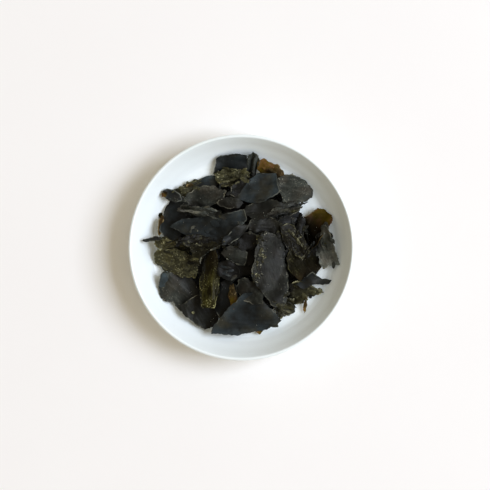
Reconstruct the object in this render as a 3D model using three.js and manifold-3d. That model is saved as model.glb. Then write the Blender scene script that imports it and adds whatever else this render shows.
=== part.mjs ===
// Dried wakame: a loose heap of brittle seaweed flakes in a small white porcelain side dish.
// Millimetres, +Z up. The origin is under the middle of the dish, on the surface that its foot stands on.
import * as THREE from "three";
import { mergeVertices } from "three/addons/utils/BufferGeometryUtils.js";
import Module from "manifold-3d";

const wasm = await Module();
wasm.setup();

// Dish: outside size, inside floor, lip and foot ring
const DISH_RADIUS = 47.5;
const DISH_HEIGHT = 15;
const LIP_THICKNESS = 1.5;
const LIP_LEAN_DEG = 38;
const WALL_FLARE = 0.6;
const WALL_BASE_THICKNESS = 2.8;
const FLOOR_RADIUS = 36;
const FLOOR_TOP = 5;
const FLOOR_THICKNESS = 3;
const FOOT_OUTER_RADIUS = 27;
const FOOT_INNER_RADIUS = 23.5;
const FOOT_CHAMFER = 0.6;
const DISH_SEGMENTS = 64;
const WALL_STEPS = 6;
const LIP_STEPS = 5;
const MERGE_DISTANCE = 1e-4;

// Heap: its solid middle, the flakes' thickness, and how they lie on each other
const CORE_RADIUS = 29;
const CORE_HEIGHT = 11;
const CORE_ROUNDNESS = 3;
const CORE_SEGMENTS = 24;
const CORE_STEPS = 4;
const FLAKE_THICKNESS = 0.8;
const DISH_GAP = 0.35;
const BEDDING = 0.65;
const STEEPEST_SLOPE = 0.7;
const SLOPE_STEPS = 7;
const SLOPE_COST = 5;
const LEAN_SPREAD = 0.55;
const WAVE_LENGTH = 18;
const WAVE_HEIGHT = 0.5;
const WAVE_SKEW = 0.6;
const WAVE_FULL_HALF_LENGTH = 9;
const PLEAT_PITCH = 2.6;
const LONGEST_EDGE = 8;
const INNER_RING = 0.55;
const FEELER_RINGS = [0.3, INNER_RING, 0.8, 1];

// Outlines of flakes that are only given by length and width: an oval broken to a few uneven sides
const SMALL_FLAKE_LENGTH = 8;
const SMALL_FLAKE_SIDES = 6;
const FLAKE_SIDES = 8;
const SIDE_JITTER = 0.5;
const LEAST_REACH = 0.94;
const REACH_SPREAD = 0.16;

// Each flake has its own run of repeatable draws
const SEED_STEP = 10;
const LEAN_DRAWS = [7, 8];
const PHASE_DRAW = 9;

// Flakes that fill the bottom of the heap, on a sunflower spiral
const FILL_COUNT = 12;
const FILL_RADIUS = 24;
const FILL_LENGTH = 16;
const FILL_WIDTH = 11;
const FILL_TURN = 60;
const GOLDEN_ANGLE = 137.5;

// The flakes that show, from the lowest to the topmost. A flake is given by its middle (at), its length and
// width (size) and the way its grain runs (turn, degrees), or by the corners of its outline from above.
// Its bends are heights: cup lifts its long edges, curl lifts its far end, and pleat is half the depth of
// its narrow folds.
const SHOWN_FLAKES = {
  teal_back: { at: [-27.9, 11.7], size: [20, 11], turn: 72 },
  rust_edge: { at: [-34, 9.2], size: [9.2, 2.6], turn: 84 },
  red_brown_back: { at: [-22.5, 24.6], size: [15, 6.5], turn: 22 },
  blue_chip: { at: [-14, 27.6], size: [10, 5.5], turn: 10 },
  brown_right: { at: [26.4, -6.2], size: [17, 15], turn: -60, cup: 1.5 },
  olive_tail: {
    corners: [
      [19, -14], [24, -14.2], [29, -15.6], [34, -18.2], [31, -20.2],
      [27.5, -20.4], [26.2, -23.6], [22.4, -23.9], [19.5, -20],
    ],
    turn: -15,
    cup: 0.8,
  },
  twig_rust: { at: [26.8, -24], size: [7.6, 1.6], turn: -95 },
  front_crumple: {
    corners: [
      [12.8, -24.2], [17, -21], [22.3, -21.6], [22.6, -26.6],
      [21.4, -28], [18.9, -28.3], [16.6, -29.8], [14.8, -28.2],
    ],
    turn: -25,
    pleat: 0.7,
  },
  blue_curl: {
    corners: [
      [22.5, -15.8], [26.5, -12.5], [30, -9.8], [31.6, -11.6], [34.2, -13.2],
      [37.9, -13.6], [37.2, -15], [34, -15.8], [30.5, -15.6], [26, -17.4],
    ],
    turn: -5,
    cup: 1.2,
  },
  amber_right: {
    corners: [
      [26.2, 13], [31.9, 16.8], [34.8, 16.2], [37.9, 13.8], [38.4, 11.4],
      [36.8, 8], [32.6, 2], [29.2, -1], [26.6, 4],
    ],
    turn: 50,
    cup: 1.8,
  },
  dark_slat: { at: [24.8, 8], size: [12.5, 4], turn: 85, cup: -1 },
  lower_left: {
    corners: [
      [-34.9, -16.7], [-33.4, -10.4], [-27.5, -9.8], [-21, -13], [-17.5, -19],
      [-19.5, -27], [-26, -26.8], [-28.8, -22.9], [-32.1, -22.5], [-34.3, -20.5],
    ],
    turn: -50,
    cup: -0.8,
  },
  lower_left_end: {
    corners: [
      [-26, -24.4], [-23.9, -28.8], [-20.5, -31.2], [-15.6, -34.6],
      [-11.4, -33.2], [-8.5, -26.5], [-13, -20], [-20, -20.5],
    ],
    turn: -60,
  },
  olive_upper: { at: [-28, 0.8], size: [16.5, 7.5], turn: -8 },
  olive_lower: {
    corners: [
      [-36.8, -4.4], [-35.8, -1.4], [-32, -0.8], [-23.9, -1.6], [-18.9, -5.7],
      [-18.5, -8], [-19.4, -12.8], [-25, -12.5], [-31.6, -10.1], [-35.2, -7.5],
    ],
    turn: -22,
    cup: -0.8,
  },
  rust_finger: { at: [-29.3, 21.6], size: [9.5, 5], turn: 155 },
  top_pleats: { at: [4.4, 34.5], size: [12, 6.5], turn: 80, pleat: 0.8 },
  top_blade: {
    corners: [[-10.6, 37.6], [-9, 38.9], [-2.2, 39.6], [2.2, 38.8], [2, 32], [-6, 29], [-11.9, 31]],
    turn: -10,
  },
  top_olive: {
    corners: [
      [-11.6, 31.5], [-6, 33], [1.5, 32.6], [4.5, 29.5],
      [1, 25.8], [-3, 24.6], [-8, 25.6], [-10.8, 28.5],
    ],
    turn: 12,
    pleat: 0.5,
  },
  strips_right: { at: [18, 15.6], size: [17, 6.5], turn: 15, pleat: 0.8 },
  mid_right_top: { at: [9.3, 16], size: [16.5, 8.5], turn: 12 },
  mid_right_round: { at: [9.5, 8.8], size: [15, 9], turn: 0, cup: -1 },
  blue_sliver: { at: [19.3, 11.2], size: [8, 5], turn: 10 },
  inner_dark: { at: [2.7, 2.8], size: [10, 7.5], turn: 30 },
  inner_teal: { at: [-5.5, -9.7], size: [10.5, 8], turn: -30, cup: 0.8 },
  inner_low: { at: [-6.5, -21.5], size: [17, 11], turn: 80 },
  amber_inner: { at: [-3.4, -20.3], size: [11.5, 4], turn: -88 },
  far_right: {
    corners: [
      [33.8, 8.9], [36.9, 8.4], [39.5, 0], [41.3, -7.3], [36.3, -7.9], [34.4, -9.1],
      [32.6, -6], [33, -3.7], [31.3, -3.8], [31.6, 0.6], [34, 2.2],
    ],
    turn: -75,
    cup: 0.8,
  },
  right_leaf: {
    corners: [[15.5, 9.5], [20, 10.2], [25, 5.5], [29.1, -1.3], [25.2, -5.9], [20.5, -2.5], [17, 3.5]],
    turn: -50,
    cup: -0.8,
  },
  olive_roll: {
    corners: [
      [-17.3, -25.4], [-11.5, -25.4], [-9.2, -18], [-9.4, -9], [-10.2, -3],
      [-11, 0.5], [-13.6, 0], [-15.4, -4], [-16.4, -9], [-17.5, -15],
    ],
    turn: 84,
    cup: -3,
  },
  olive_arc: {
    corners: [
      [-21.5, 1.3], [-10, 1.8], [-8.8, 0.2], [-12, -0.8],
      [-15.3, -3.3], [-17.6, -7.8], [-21.5, -5],
    ],
    turn: 30,
    cup: 1.2,
  },
  upper_right: {
    corners: [
      [15.2, 28.7], [17.5, 30.3], [21.4, 31.2], [23.4, 29.8], [29.1, 25.9],
      [30.2, 23.7], [29.6, 21], [26.9, 19.2], [17.4, 18], [15, 25],
    ],
    turn: -20,
    cup: 0.6,
  },
  amber_back: { at: [12.3, 32.7], size: [13.6, 7], turn: 145, cup: -1 },
  brown_wedge: { at: [0, 25.2], size: [10.5, 7], turn: 30 },
  blue_grey: {
    corners: [
      [-2.6, 20.6], [3, 28], [6.5, 31.2], [14.5, 31.3],
      [16.1, 23], [13.5, 21.2], [7.2, 18.6], [2, 19.2],
    ],
    turn: 15,
    cup: 0.7,
  },
  long_left: {
    corners: [
      [-26, 19.3], [-23.3, 22.1], [-18.3, 25.4], [-11.7, 26.3], [-6.2, 23.7],
      [-7.3, 21], [-10, 18.8], [-13.9, 16.8], [-20.5, 17.1],
    ],
    turn: 15,
    cup: -0.8,
  },
  small_curl: { at: [-4.8, 18.8], size: [11.5, 5], turn: -5, curl: -1.2 },
  left_strips: {
    corners: [[-27, 16.3], [-24, 17.8], [-12, 16.4], [-5, 13.8], [-6, 12.2], [-16, 12], [-25.5, 14]],
    turn: -10,
    pleat: 0.8,
  },
  under_big: { at: [-18, 3.2], size: [18, 4.5], turn: 2 },
  big_left: {
    corners: [
      [-30.2, 8.8], [-25, 12.1], [-12, 13], [1.2, 16],
      [2.4, 11.6], [-5, 4], [-9.3, 1.2], [-22, 4.8],
    ],
    turn: 8,
    cup: 1,
  },
  lip: { at: [-2.8, 5.4], size: [14, 4.5], turn: 38, cup: 0.9 },
  centre_chip: {
    corners: [[-8.4, -1.8], [-5, 0.8], [1, 1], [2.6, -2], [1.5, -7.5], [-2.5, -6.8], [-6.8, -4.2]],
    turn: -10,
  },
  front_back: { at: [3.2, -18.5], size: [14, 9], turn: -42 },
  amber_chip: { at: [7.4, -31.6], size: [10.6, 4.2], turn: -90 },
  front: {
    corners: [
      [-12.8, -36.2], [-12, -33], [-5.4, -25], [1.2, -19.2], [5, -18.5], [16.8, -30.6],
      [15.3, -31.9], [15.4, -33.2], [12.4, -33.2], [11, -34.4], [6, -35.4], [-1.8, -37],
    ],
    turn: -5,
    cup: -0.6,
  },
  long_front: {
    corners: [
      [9.2, 7.2], [17.6, 4], [18, -4], [19.8, -14], [18.5, -23.6],
      [16, -25.2], [12.5, -24.2], [6, -15.5], [4.2, -11], [6.6, 1],
    ],
    turn: -78,
    cup: -0.8,
  },
  twig_left: { at: [-37.6, 3.4], size: [9.6, 1.9], turn: 6 },
};

// A repeatable draw between 0 and 1, by the usual sine hash
function draw(seed) {
  const value = Math.sin(seed * 12.9898) * 43758.5453;
  return value - Math.floor(value);
}

// Inside of the dish, up to where the wall meets the rounded lip

const LIP_LEAN = THREE.MathUtils.degToRad(LIP_LEAN_DEG);
const RIM_INNER_RADIUS = DISH_RADIUS - (LIP_THICKNESS / 2) * (1 + Math.cos(LIP_LEAN));
const RIM_INNER_HEIGHT = DISH_HEIGHT - (LIP_THICKNESS / 2) * (1 - Math.sin(LIP_LEAN));

// Height of the dish's inside at a distance from its axis: a flat floor, then a wall that flares to the lip
function insideHeight(radius) {
  const share = THREE.MathUtils.clamp((radius - FLOOR_RADIUS) / (RIM_INNER_RADIUS - FLOOR_RADIUS), 0, 1);
  const rise = (share ** 2 / 2 - (WALL_FLARE * share ** 3) / 3) / (1 / 2 - WALL_FLARE / 3);
  return FLOOR_TOP + (RIM_INNER_HEIGHT - FLOOR_TOP) * rise;
}

// Points up the inside wall from the floor's edge to the lip, each with the unit vector into the porcelain
function wallPoints() {
  return Array.from({ length: WALL_STEPS + 1 }, (_, step) => {
    const share = step / WALL_STEPS;
    const radius = FLOOR_RADIUS + (RIM_INNER_RADIUS - FLOOR_RADIUS) * share;
    const steepness = (share * (1 - WALL_FLARE * share)) / (1 / 2 - WALL_FLARE / 3);
    const slope = (steepness * (RIM_INNER_HEIGHT - FLOOR_TOP)) / (RIM_INNER_RADIUS - FLOOR_RADIUS);
    return {
      share,
      point: new THREE.Vector2(radius, insideHeight(radius)),
      into: new THREE.Vector2(slope, -1).normalize(),
    };
  });
}

// Section of the dish: from the axis under the floor, round the foot, up the outside, over the lip and in
function dishProfile() {
  const wall = wallPoints();
  const underside = FLOOR_TOP - FLOOR_THICKNESS;
  const foot = [
    [0, underside],
    [FOOT_INNER_RADIUS - FOOT_CHAMFER, underside],
    [FOOT_INNER_RADIUS, 0],
    [FOOT_OUTER_RADIUS - FOOT_CHAMFER, 0],
    [FOOT_OUTER_RADIUS, FOOT_CHAMFER],
    [FOOT_OUTER_RADIUS + FOOT_CHAMFER, underside],
  ].map(([radius, height]) => new THREE.Vector2(radius, height));
  const outside = wall.map(({ share, point, into }) => {
    const thickness = THREE.MathUtils.lerp(WALL_BASE_THICKNESS, LIP_THICKNESS, share);
    return point.clone().addScaledVector(into, thickness);
  });
  const { point: rim, into } = wall.at(-1);
  const lipCentre = rim.clone().addScaledVector(into, LIP_THICKNESS / 2);
  const lip = Array.from({ length: LIP_STEPS - 1 }, (_, step) => {
    const angle = into.angle() + (Math.PI * (step + 1)) / LIP_STEPS;
    const reach = new THREE.Vector2(Math.cos(angle), Math.sin(angle));
    return lipCentre.clone().addScaledVector(reach, LIP_THICKNESS / 2);
  });
  const inside = wall.map(({ point }) => point).reverse();
  return [...foot, ...outside, ...lip, ...inside, new THREE.Vector2(0, FLOOR_TOP)];
}

function dishGeometry() {
  return new THREE.LatheGeometry(dishProfile(), DISH_SEGMENTS).rotateX(Math.PI / 2);
}

// Solids to join and cut

function toSolid(geometry) {
  const bare = geometry.clone().deleteAttribute("normal").deleteAttribute("uv");
  const merged = mergeVertices(bare, MERGE_DISTANCE);
  return new wasm.Manifold(
    new wasm.Mesh({
      numProp: 3,
      vertProperties: merged.attributes.position.array,
      triVerts: new Uint32Array(merged.index.array),
    }),
  );
}

function toGeometry(solid) {
  const mesh = solid.getMesh();
  const geometry = new THREE.BufferGeometry();
  geometry.setAttribute("position", new THREE.BufferAttribute(mesh.vertProperties, 3));
  geometry.setIndex(new THREE.BufferAttribute(mesh.triVerts, 1));
  geometry.computeVertexNormals();
  return geometry;
}

// Flakes

// Outline of a flake seen from above, anticlockwise: its own corners, or an uneven oval
function outlineOf(flake, seed) {
  if (flake.corners) {
    const corners = flake.corners.map(([x, y]) => new THREE.Vector2(x, y));
    return THREE.ShapeUtils.isClockWise(corners) ? corners.reverse() : corners;
  }
  const [length, width] = flake.size;
  const sides = length > SMALL_FLAKE_LENGTH ? FLAKE_SIDES : SMALL_FLAKE_SIDES;
  const turn = THREE.MathUtils.degToRad(flake.turn);
  return Array.from({ length: sides }, (_, side) => {
    const angle = ((side + SIDE_JITTER * (draw(seed + side) - 0.5)) / sides) * 2 * Math.PI;
    const reach = LEAST_REACH + REACH_SPREAD * draw(seed + side + 0.5);
    const oval = new THREE.Vector2(Math.cos(angle) * length, Math.sin(angle) * width);
    const middle = new THREE.Vector2(...flake.at);
    return oval.multiplyScalar(reach / 2).rotateAround(new THREE.Vector2(), turn).add(middle);
  });
}

// The outline with long edges halved, so that a flake can bend along them
function rimOf(outline) {
  return outline.flatMap((corner, i) => {
    const next = outline[(i + 1) % outline.length];
    return corner.distanceTo(next) > LONGEST_EDGE ? [corner, corner.clone().lerp(next, 0.5)] : [corner];
  });
}

// A flake with its outline, its middle and its half length and half width along and across the grain
function cutFlake(flake, index) {
  const seed = SEED_STEP * (index + 1);
  const rim = rimOf(outlineOf(flake, seed));
  const middle = rim.reduce((sum, p) => sum.add(p), new THREE.Vector2()).divideScalar(rim.length);
  const turn = THREE.MathUtils.degToRad(flake.turn);
  const inGrain = rim.map((p) => p.clone().sub(middle).rotateAround(new THREE.Vector2(), -turn));
  return {
    ...flake,
    rim,
    middle,
    turn,
    phase: 2 * Math.PI * draw(seed + PHASE_DRAW),
    lean: new THREE.Vector2(...LEAN_DRAWS.map((n) => LEAN_SPREAD * (draw(seed + n) - 0.5))),
    halfLength: Math.max(...inGrain.map((p) => Math.abs(p.x))),
    halfWidth: Math.max(...inGrain.map((p) => Math.abs(p.y))),
  };
}

// Height of a flake's own bends over its plane: cupped edges, a curled end, slow waves and pleats
function reliefAt(flake, point) {
  const own = point.clone().sub(flake.middle).rotateAround(new THREE.Vector2(), -flake.turn);
  const along = own.x / flake.halfLength;
  const across = own.y / flake.halfWidth;
  const wave = Math.sin((2 * Math.PI * (own.x + WAVE_SKEW * own.y)) / WAVE_LENGTH + flake.phase);
  const zigzag = 4 * Math.abs(THREE.MathUtils.euclideanModulo(own.y / PLEAT_PITCH + 0.25, 1) - 0.5) - 1;
  return (
    (flake.cup ?? 0) * across ** 2 +
    (flake.curl ?? 0) * Math.max(0, along) ** 2 +
    (flake.pleat ?? 0) * zigzag +
    WAVE_HEIGHT * Math.min(1, flake.halfLength / WAVE_FULL_HALF_LENGTH) * wave
  );
}

// Top of what already lies in the dish, on a square grid of 1 mm cells
class Pile {
  constructor(half, heightAt) {
    this.half = half;
    this.width = 2 * half + 1;
    this.tops = new Float64Array(this.width ** 2);
    this.eachCell([-half, half, -half, half], (point, cell) => {
      this.tops[cell] = heightAt(point.length());
    });
  }
  eachCell([left, right, front, back], visit) {
    for (let y = Math.ceil(front); y <= back; y++)
      for (let x = Math.ceil(left); x <= right; x++) visit(new THREE.Vector2(x, y), this.cellAt(x, y));
  }
  cellAt(x, y) {
    return (Math.round(y) + this.half) * this.width + Math.round(x) + this.half;
  }
  topAt(point) {
    return this.tops[this.cellAt(point.x, point.y)];
  }
  add(flake) {
    const box = new THREE.Box2().setFromPoints(flake.rim);
    this.eachCell([box.min.x, box.max.x, box.min.y, box.max.y], (point, cell) => {
      const top = surfaceAt(flake, point) + FLAKE_THICKNESS / 2;
      if (isInside(point, flake.rim)) this.tops[cell] = Math.max(this.tops[cell], top);
    });
  }
}

function isInside(point, rim) {
  return rim.reduce((inside, a, i) => {
    const b = rim[(i + rim.length - 1) % rim.length];
    const crosses = a.y > point.y !== b.y > point.y;
    return crosses && point.x < a.x + ((b.x - a.x) * (point.y - a.y)) / (b.y - a.y) ? !inside : inside;
  }, false);
}

// Height of a laid flake's middle layer
function surfaceAt(flake, point) {
  const from = point.clone().sub(flake.middle);
  return flake.height + flake.slope.dot(from) + reliefAt(flake, point);
}

// Points of a flake where it may touch what is under it
function feelers(flake) {
  const ring = (share) => flake.rim.map((p) => flake.middle.clone().lerp(p, share));
  return [flake.middle, ...FEELER_RINGS.flatMap(ring)];
}

// Lays a flake on the pile: of all slopes it takes the one where its middle comes to rest lowest, a little
// bedded into what is under it and clear of the dish
function layFlake(flake, pile) {
  const half = FLAKE_THICKNESS / 2;
  const contacts = feelers(flake).map((p) => {
    const support = Math.max(pile.topAt(p) - BEDDING, insideHeight(p.length()) + DISH_GAP) + half;
    return { from: p.clone().sub(flake.middle), room: support - reliefAt(flake, p) };
  });
  let lowest = Infinity;
  for (let i = -SLOPE_STEPS; i <= SLOPE_STEPS; i++)
    for (let j = -SLOPE_STEPS; j <= SLOPE_STEPS; j++) {
      const slope = new THREE.Vector2(i, j).multiplyScalar(STEEPEST_SLOPE / SLOPE_STEPS);
      const height = Math.max(...contacts.map(({ from, room }) => room - slope.dot(from)));
      const cost = height + SLOPE_COST * slope.distanceToSquared(flake.lean);
      if (cost < lowest) {
        lowest = cost;
        Object.assign(flake, { slope, height });
      }
    }
  pile.add(flake);
}

// A thin disc with one inner ring, whose rim is drawn out to the flake's outline and whose faces are bent
function flakeGeometry(flake) {
  const half = FLAKE_THICKNESS / 2;
  const section = [[0, -half], [INNER_RING, -half], [1, -half], [1, half], [INNER_RING, half], [0, half]];
  const sides = flake.rim.length;
  const points = section.map((p) => new THREE.Vector2(...p));
  const disc = new THREE.LatheGeometry(points, sides, Math.PI / 2).rotateX(Math.PI / 2);
  const vertices = disc.attributes.position;
  for (let i = 0; i < vertices.count; i++) {
    const spot = new THREE.Vector2(vertices.getX(i), vertices.getY(i));
    const side = Math.round((spot.angle() / (2 * Math.PI)) * sides) % sides;
    const point = flake.middle.clone().lerp(flake.rim[side], spot.length());
    vertices.setXYZ(i, point.x, point.y, surfaceAt(flake, point) + vertices.getZ(i));
  }
  return disc;
}

// Heap

// Low dome of packed crumbs that the flakes lie on
function coreHeight(radius) {
  return FLOOR_TOP + DISH_GAP + CORE_HEIGHT * Math.max(0, 1 - (radius / CORE_RADIUS) ** CORE_ROUNDNESS);
}

function coreGeometry() {
  const dome = Array.from({ length: CORE_STEPS + 1 }, (_, step) => {
    const radius = CORE_RADIUS * (1 - step / CORE_STEPS);
    return new THREE.Vector2(radius, coreHeight(radius) + (step ? 0 : FLAKE_THICKNESS));
  });
  const bottom = FLOOR_TOP + DISH_GAP;
  const section = [new THREE.Vector2(0, bottom), new THREE.Vector2(CORE_RADIUS, bottom), ...dome];
  return new THREE.LatheGeometry(section, CORE_SEGMENTS).rotateX(Math.PI / 2);
}

function fillFlakes() {
  return Array.from({ length: FILL_COUNT }, (_, i) => {
    const radius = FILL_RADIUS * Math.sqrt((i + 0.5) / FILL_COUNT);
    const angle = THREE.MathUtils.degToRad(GOLDEN_ANGLE * i);
    return {
      at: [radius * Math.cos(angle), radius * Math.sin(angle)],
      size: [FILL_LENGTH, FILL_WIDTH],
      turn: GOLDEN_ANGLE * i + FILL_TURN,
    };
  });
}

function heapGeometry() {
  const emptyTop = (radius) => Math.max(insideHeight(radius), coreHeight(radius));
  const pile = new Pile(Math.ceil(DISH_RADIUS), emptyTop);
  const flakes = [...fillFlakes(), ...Object.values(SHOWN_FLAKES)].map(cutFlake);
  flakes.forEach((flake) => layFlake(flake, pile));
  const solids = [coreGeometry(), ...flakes.map(flakeGeometry)].map(toSolid);
  const bodies = wasm.Manifold.union(solids).decompose();
  const heap = bodies.reduce((best, body) => (body.volume() > best.volume() ? body : best));
  return toGeometry(heap);
}

// Assembly

function piece(name, geometry, material) {
  const mesh = new THREE.Mesh(geometry, new THREE.MeshStandardMaterial(material));
  mesh.name = name;
  return mesh;
}

const wakameInDish = new THREE.Group();
wakameInDish.add(piece("dish", dishGeometry(), { color: 0xf1f3f2, roughness: 0.2, metalness: 0 }));
wakameInDish.add(piece("wakame_heap", heapGeometry(), { color: 0x2b2b29, roughness: 0.5, metalness: 0 }));

export default wakameInDish;
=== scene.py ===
"""Dried wakame in a small white porcelain dish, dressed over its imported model.

The scene is in metres, +Z up. The sizes of the dish and of what lies in it are in millimetres.
"""
import math
from functools import partial

import bmesh
import bpy
import numpy as np
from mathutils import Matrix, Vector
from mathutils.bvhtree import BVHTree
from mathutils.geometry import delaunay_2d_cdt


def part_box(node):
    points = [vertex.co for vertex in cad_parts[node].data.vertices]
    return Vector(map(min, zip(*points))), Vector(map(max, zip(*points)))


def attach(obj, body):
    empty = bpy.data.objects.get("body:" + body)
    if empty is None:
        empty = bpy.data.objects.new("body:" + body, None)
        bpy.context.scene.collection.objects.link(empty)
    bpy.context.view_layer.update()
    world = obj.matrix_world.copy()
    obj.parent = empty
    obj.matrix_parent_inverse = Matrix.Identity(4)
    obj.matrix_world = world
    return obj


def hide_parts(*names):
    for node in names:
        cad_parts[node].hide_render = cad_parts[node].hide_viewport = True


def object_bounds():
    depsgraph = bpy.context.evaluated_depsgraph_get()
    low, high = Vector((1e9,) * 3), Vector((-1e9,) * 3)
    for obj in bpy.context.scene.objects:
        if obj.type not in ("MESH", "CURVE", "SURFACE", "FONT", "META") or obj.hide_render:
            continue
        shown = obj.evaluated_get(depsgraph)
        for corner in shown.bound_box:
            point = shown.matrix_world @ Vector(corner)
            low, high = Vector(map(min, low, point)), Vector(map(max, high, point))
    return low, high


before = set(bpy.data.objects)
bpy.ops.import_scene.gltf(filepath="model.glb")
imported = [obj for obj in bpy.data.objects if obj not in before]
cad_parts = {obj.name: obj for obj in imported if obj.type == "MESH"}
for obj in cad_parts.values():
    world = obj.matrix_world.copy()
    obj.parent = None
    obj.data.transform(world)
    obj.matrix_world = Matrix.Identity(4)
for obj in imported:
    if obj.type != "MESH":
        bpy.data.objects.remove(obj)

# Studio
# A plain pale table top in soft window light that comes from the right and a little from behind.
# The camera hangs straight over the dish, as the photograph was taken. The room's sizes are in metres.
MM = 0.001
PHOTO_SIDE_PX = 490
DISH_CENTRE_PX = (241.5, 247.5)
DISH_WIDTH_PX = 226.5
CAMERA_OVER_RIM = 1.5
WINDOW_AZIMUTH_DEG = 7
WINDOW_ELEVATION_DEG = 47
WINDOW_DISTANCE = 3.0
WINDOW_SIDE = 1.7
WINDOW_POWER_W = 94
CURTAIN_SIDE = 9.0
CURTAIN_POWER_W = 75
ROOM_LIGHT = 0.35
FLOOR_SIDE = 4.0
BRUSH_MARK = 0.06

cad_low, cad_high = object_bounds()
dish_low, dish_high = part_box("dish")
dish_radius_mm = (dish_high.x - dish_low.x) / 2 / MM
rim_top_mm = dish_high.z / MM


def linear(hex_colour):
    """An sRGB hex colour as the linear colour that Blender's sockets take."""
    parts = [int(hex_colour[i : i + 2], 16) / 255 for i in (1, 3, 5)]
    return (*(p / 12.92 if p <= 0.04045 else ((p + 0.055) / 1.055) ** 2.4 for p in parts), 1.0)


def add_node(tree, kind, inputs=(), **settings):
    """Adds a node. Its inputs, by name or in order, are values, sockets, or nodes with one main output."""
    node = tree.nodes.new(kind)
    for name, value in settings.items():
        setattr(node, name, value)
    sockets = [socket for socket in node.inputs if socket.enabled]
    if isinstance(inputs, dict):
        sockets = [next(socket for socket in sockets if socket.name == name) for name in inputs]
        inputs = inputs.values()
    for socket, value in zip(sockets, inputs):
        if isinstance(value, bpy.types.Node):
            value = next(output for output in value.outputs if output.enabled)
        if isinstance(value, bpy.types.NodeSocket):
            tree.links.new(value, socket)
        else:
            socket.default_value = value
    return node


def bare_material(name):
    """A material with nothing in it, for a surface to be built in."""
    material = bpy.data.materials.new(name)
    material.use_nodes = True
    material.node_tree.nodes.clear()
    return material


def put_in_scene(name, data):
    """An object at the origin with the given mesh, light or camera."""
    placed = bpy.data.objects.new(name, data)
    bpy.context.scene.collection.objects.link(placed)
    return placed


def emulsion_paint():
    """White emulsion paint: an even, dull surface that is slightly warm."""
    material = bare_material("white_emulsion_paint")
    tree = material.node_tree
    place = add_node(tree, "ShaderNodeTexCoord").outputs["Object"]
    brush = add_node(tree, "ShaderNodeTexNoise", {"Vector": place, "Scale": 1 / BRUSH_MARK, "Detail": 4.0})
    shades = {"Factor": brush, "A": linear("#f7f4f0"), "B": linear("#faf8f4")}
    colour = add_node(tree, "ShaderNodeMix", shades, data_type="RGBA")
    paint = add_node(tree, "ShaderNodeBsdfPrincipled", {"Base Color": colour, "Roughness": 0.7})
    add_node(tree, "ShaderNodeOutputMaterial", {"Surface": paint})
    return material


floor_mesh = bpy.data.meshes.new("table_top")
half = FLOOR_SIDE / 2
floor_corners = [(-half, -half, 0), (half, -half, 0), (half, half, 0), (-half, half, 0)]
floor_mesh.from_pydata(floor_corners, [], [(0, 1, 2, 3)])
floor_mesh.materials.append(emulsion_paint())
put_in_scene("table_top", floor_mesh)

azimuth, elevation = math.radians(WINDOW_AZIMUTH_DEG), math.radians(WINDOW_ELEVATION_DEG)
level = math.cos(elevation)
to_window = Vector((math.cos(azimuth) * level, math.sin(azimuth) * level, math.sin(elevation)))
for name, side, power, colour in (
    ("window", WINDOW_SIDE, WINDOW_POWER_W, "#e1ebff"),
    ("curtain", CURTAIN_SIDE, CURTAIN_POWER_W, "#fff4e0"),
):
    light = bpy.data.lights.new(name, "AREA")
    light.size = side
    light.energy = power
    light.color = linear(colour)[:3]
    lamp = put_in_scene(name, light)
    lamp.location = to_window * WINDOW_DISTANCE
    lamp.rotation_euler = to_window.to_track_quat("Z", "Y").to_euler()

room = bpy.data.worlds.new("room")
room.use_nodes = True
room.node_tree.nodes["Background"].inputs["Color"].default_value = linear("#fff1d6")
room.node_tree.nodes["Background"].inputs["Strength"].default_value = ROOM_LIGHT
bpy.context.scene.world = room
bpy.context.scene.view_settings.view_transform = "Standard"

mm_per_px = 2 * dish_radius_mm / DISH_WIDTH_PX
camera = bpy.data.cameras.new("camera")
camera.lens = camera.sensor_width * CAMERA_OVER_RIM / (PHOTO_SIDE_PX * mm_per_px * MM)
camera_object = put_in_scene("camera", camera)
camera_object.location = (
    (PHOTO_SIDE_PX / 2 - DISH_CENTRE_PX[0]) * mm_per_px * MM,
    (DISH_CENTRE_PX[1] - PHOTO_SIDE_PX / 2) * mm_per_px * MM,
    rim_top_mm * MM + CAMERA_OVER_RIM,
)
bpy.context.scene.camera = camera_object

# Dish
# A small side dish of white porcelain, thrown or jollied round: flat floor, wall that sweeps up to a rounded
# lip, and a foot ring that was wiped free of glaze so that it didn't stick in the kiln.
LIP_THICKNESS = 1.5
LIP_LEAN = math.radians(38)
WALL_FLARE = 0.6
WALL_BASE_THICKNESS = 2.8
FLOOR_RADIUS = 36.0
FLOOR_TOP = 5.0
FLOOR_THICKNESS = 3.0
FOOT_OUTER_RADIUS = 27.0
FOOT_INNER_RADIUS = 23.5
FOOT_CHAMFER = 0.6
RIM_INNER_RADIUS = dish_radius_mm - LIP_THICKNESS / 2 * (1 + math.cos(LIP_LEAN))
RIM_INNER_HEIGHT = rim_top_mm - LIP_THICKNESS / 2 * (1 - math.sin(LIP_LEAN))
DISH_SEGMENTS = 180
WALL_STEPS = 26
LIP_STEPS = 12
MERGE_DISTANCE = 0.001
GLAZE_START = 0.25
GLAZE_FULL = 0.6
GLAZE_ROUGHNESS = 0.28
BARE_ROUGHNESS = 0.75
GLAZE_RIPPLE = 11
RIPPLE_DEPTH = 0.4
TURNING_RING = 3


def inside_height(radius):
    """Height of the dish's inside at a distance from its axis: a flat floor, then a wall that flares out."""
    share = np.clip((radius - FLOOR_RADIUS) / (RIM_INNER_RADIUS - FLOOR_RADIUS), 0, 1)
    rise = (share**2 / 2 - WALL_FLARE * share**3 / 3) / (1 / 2 - WALL_FLARE / 3)
    return FLOOR_TOP + (RIM_INNER_HEIGHT - FLOOR_TOP) * rise


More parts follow.
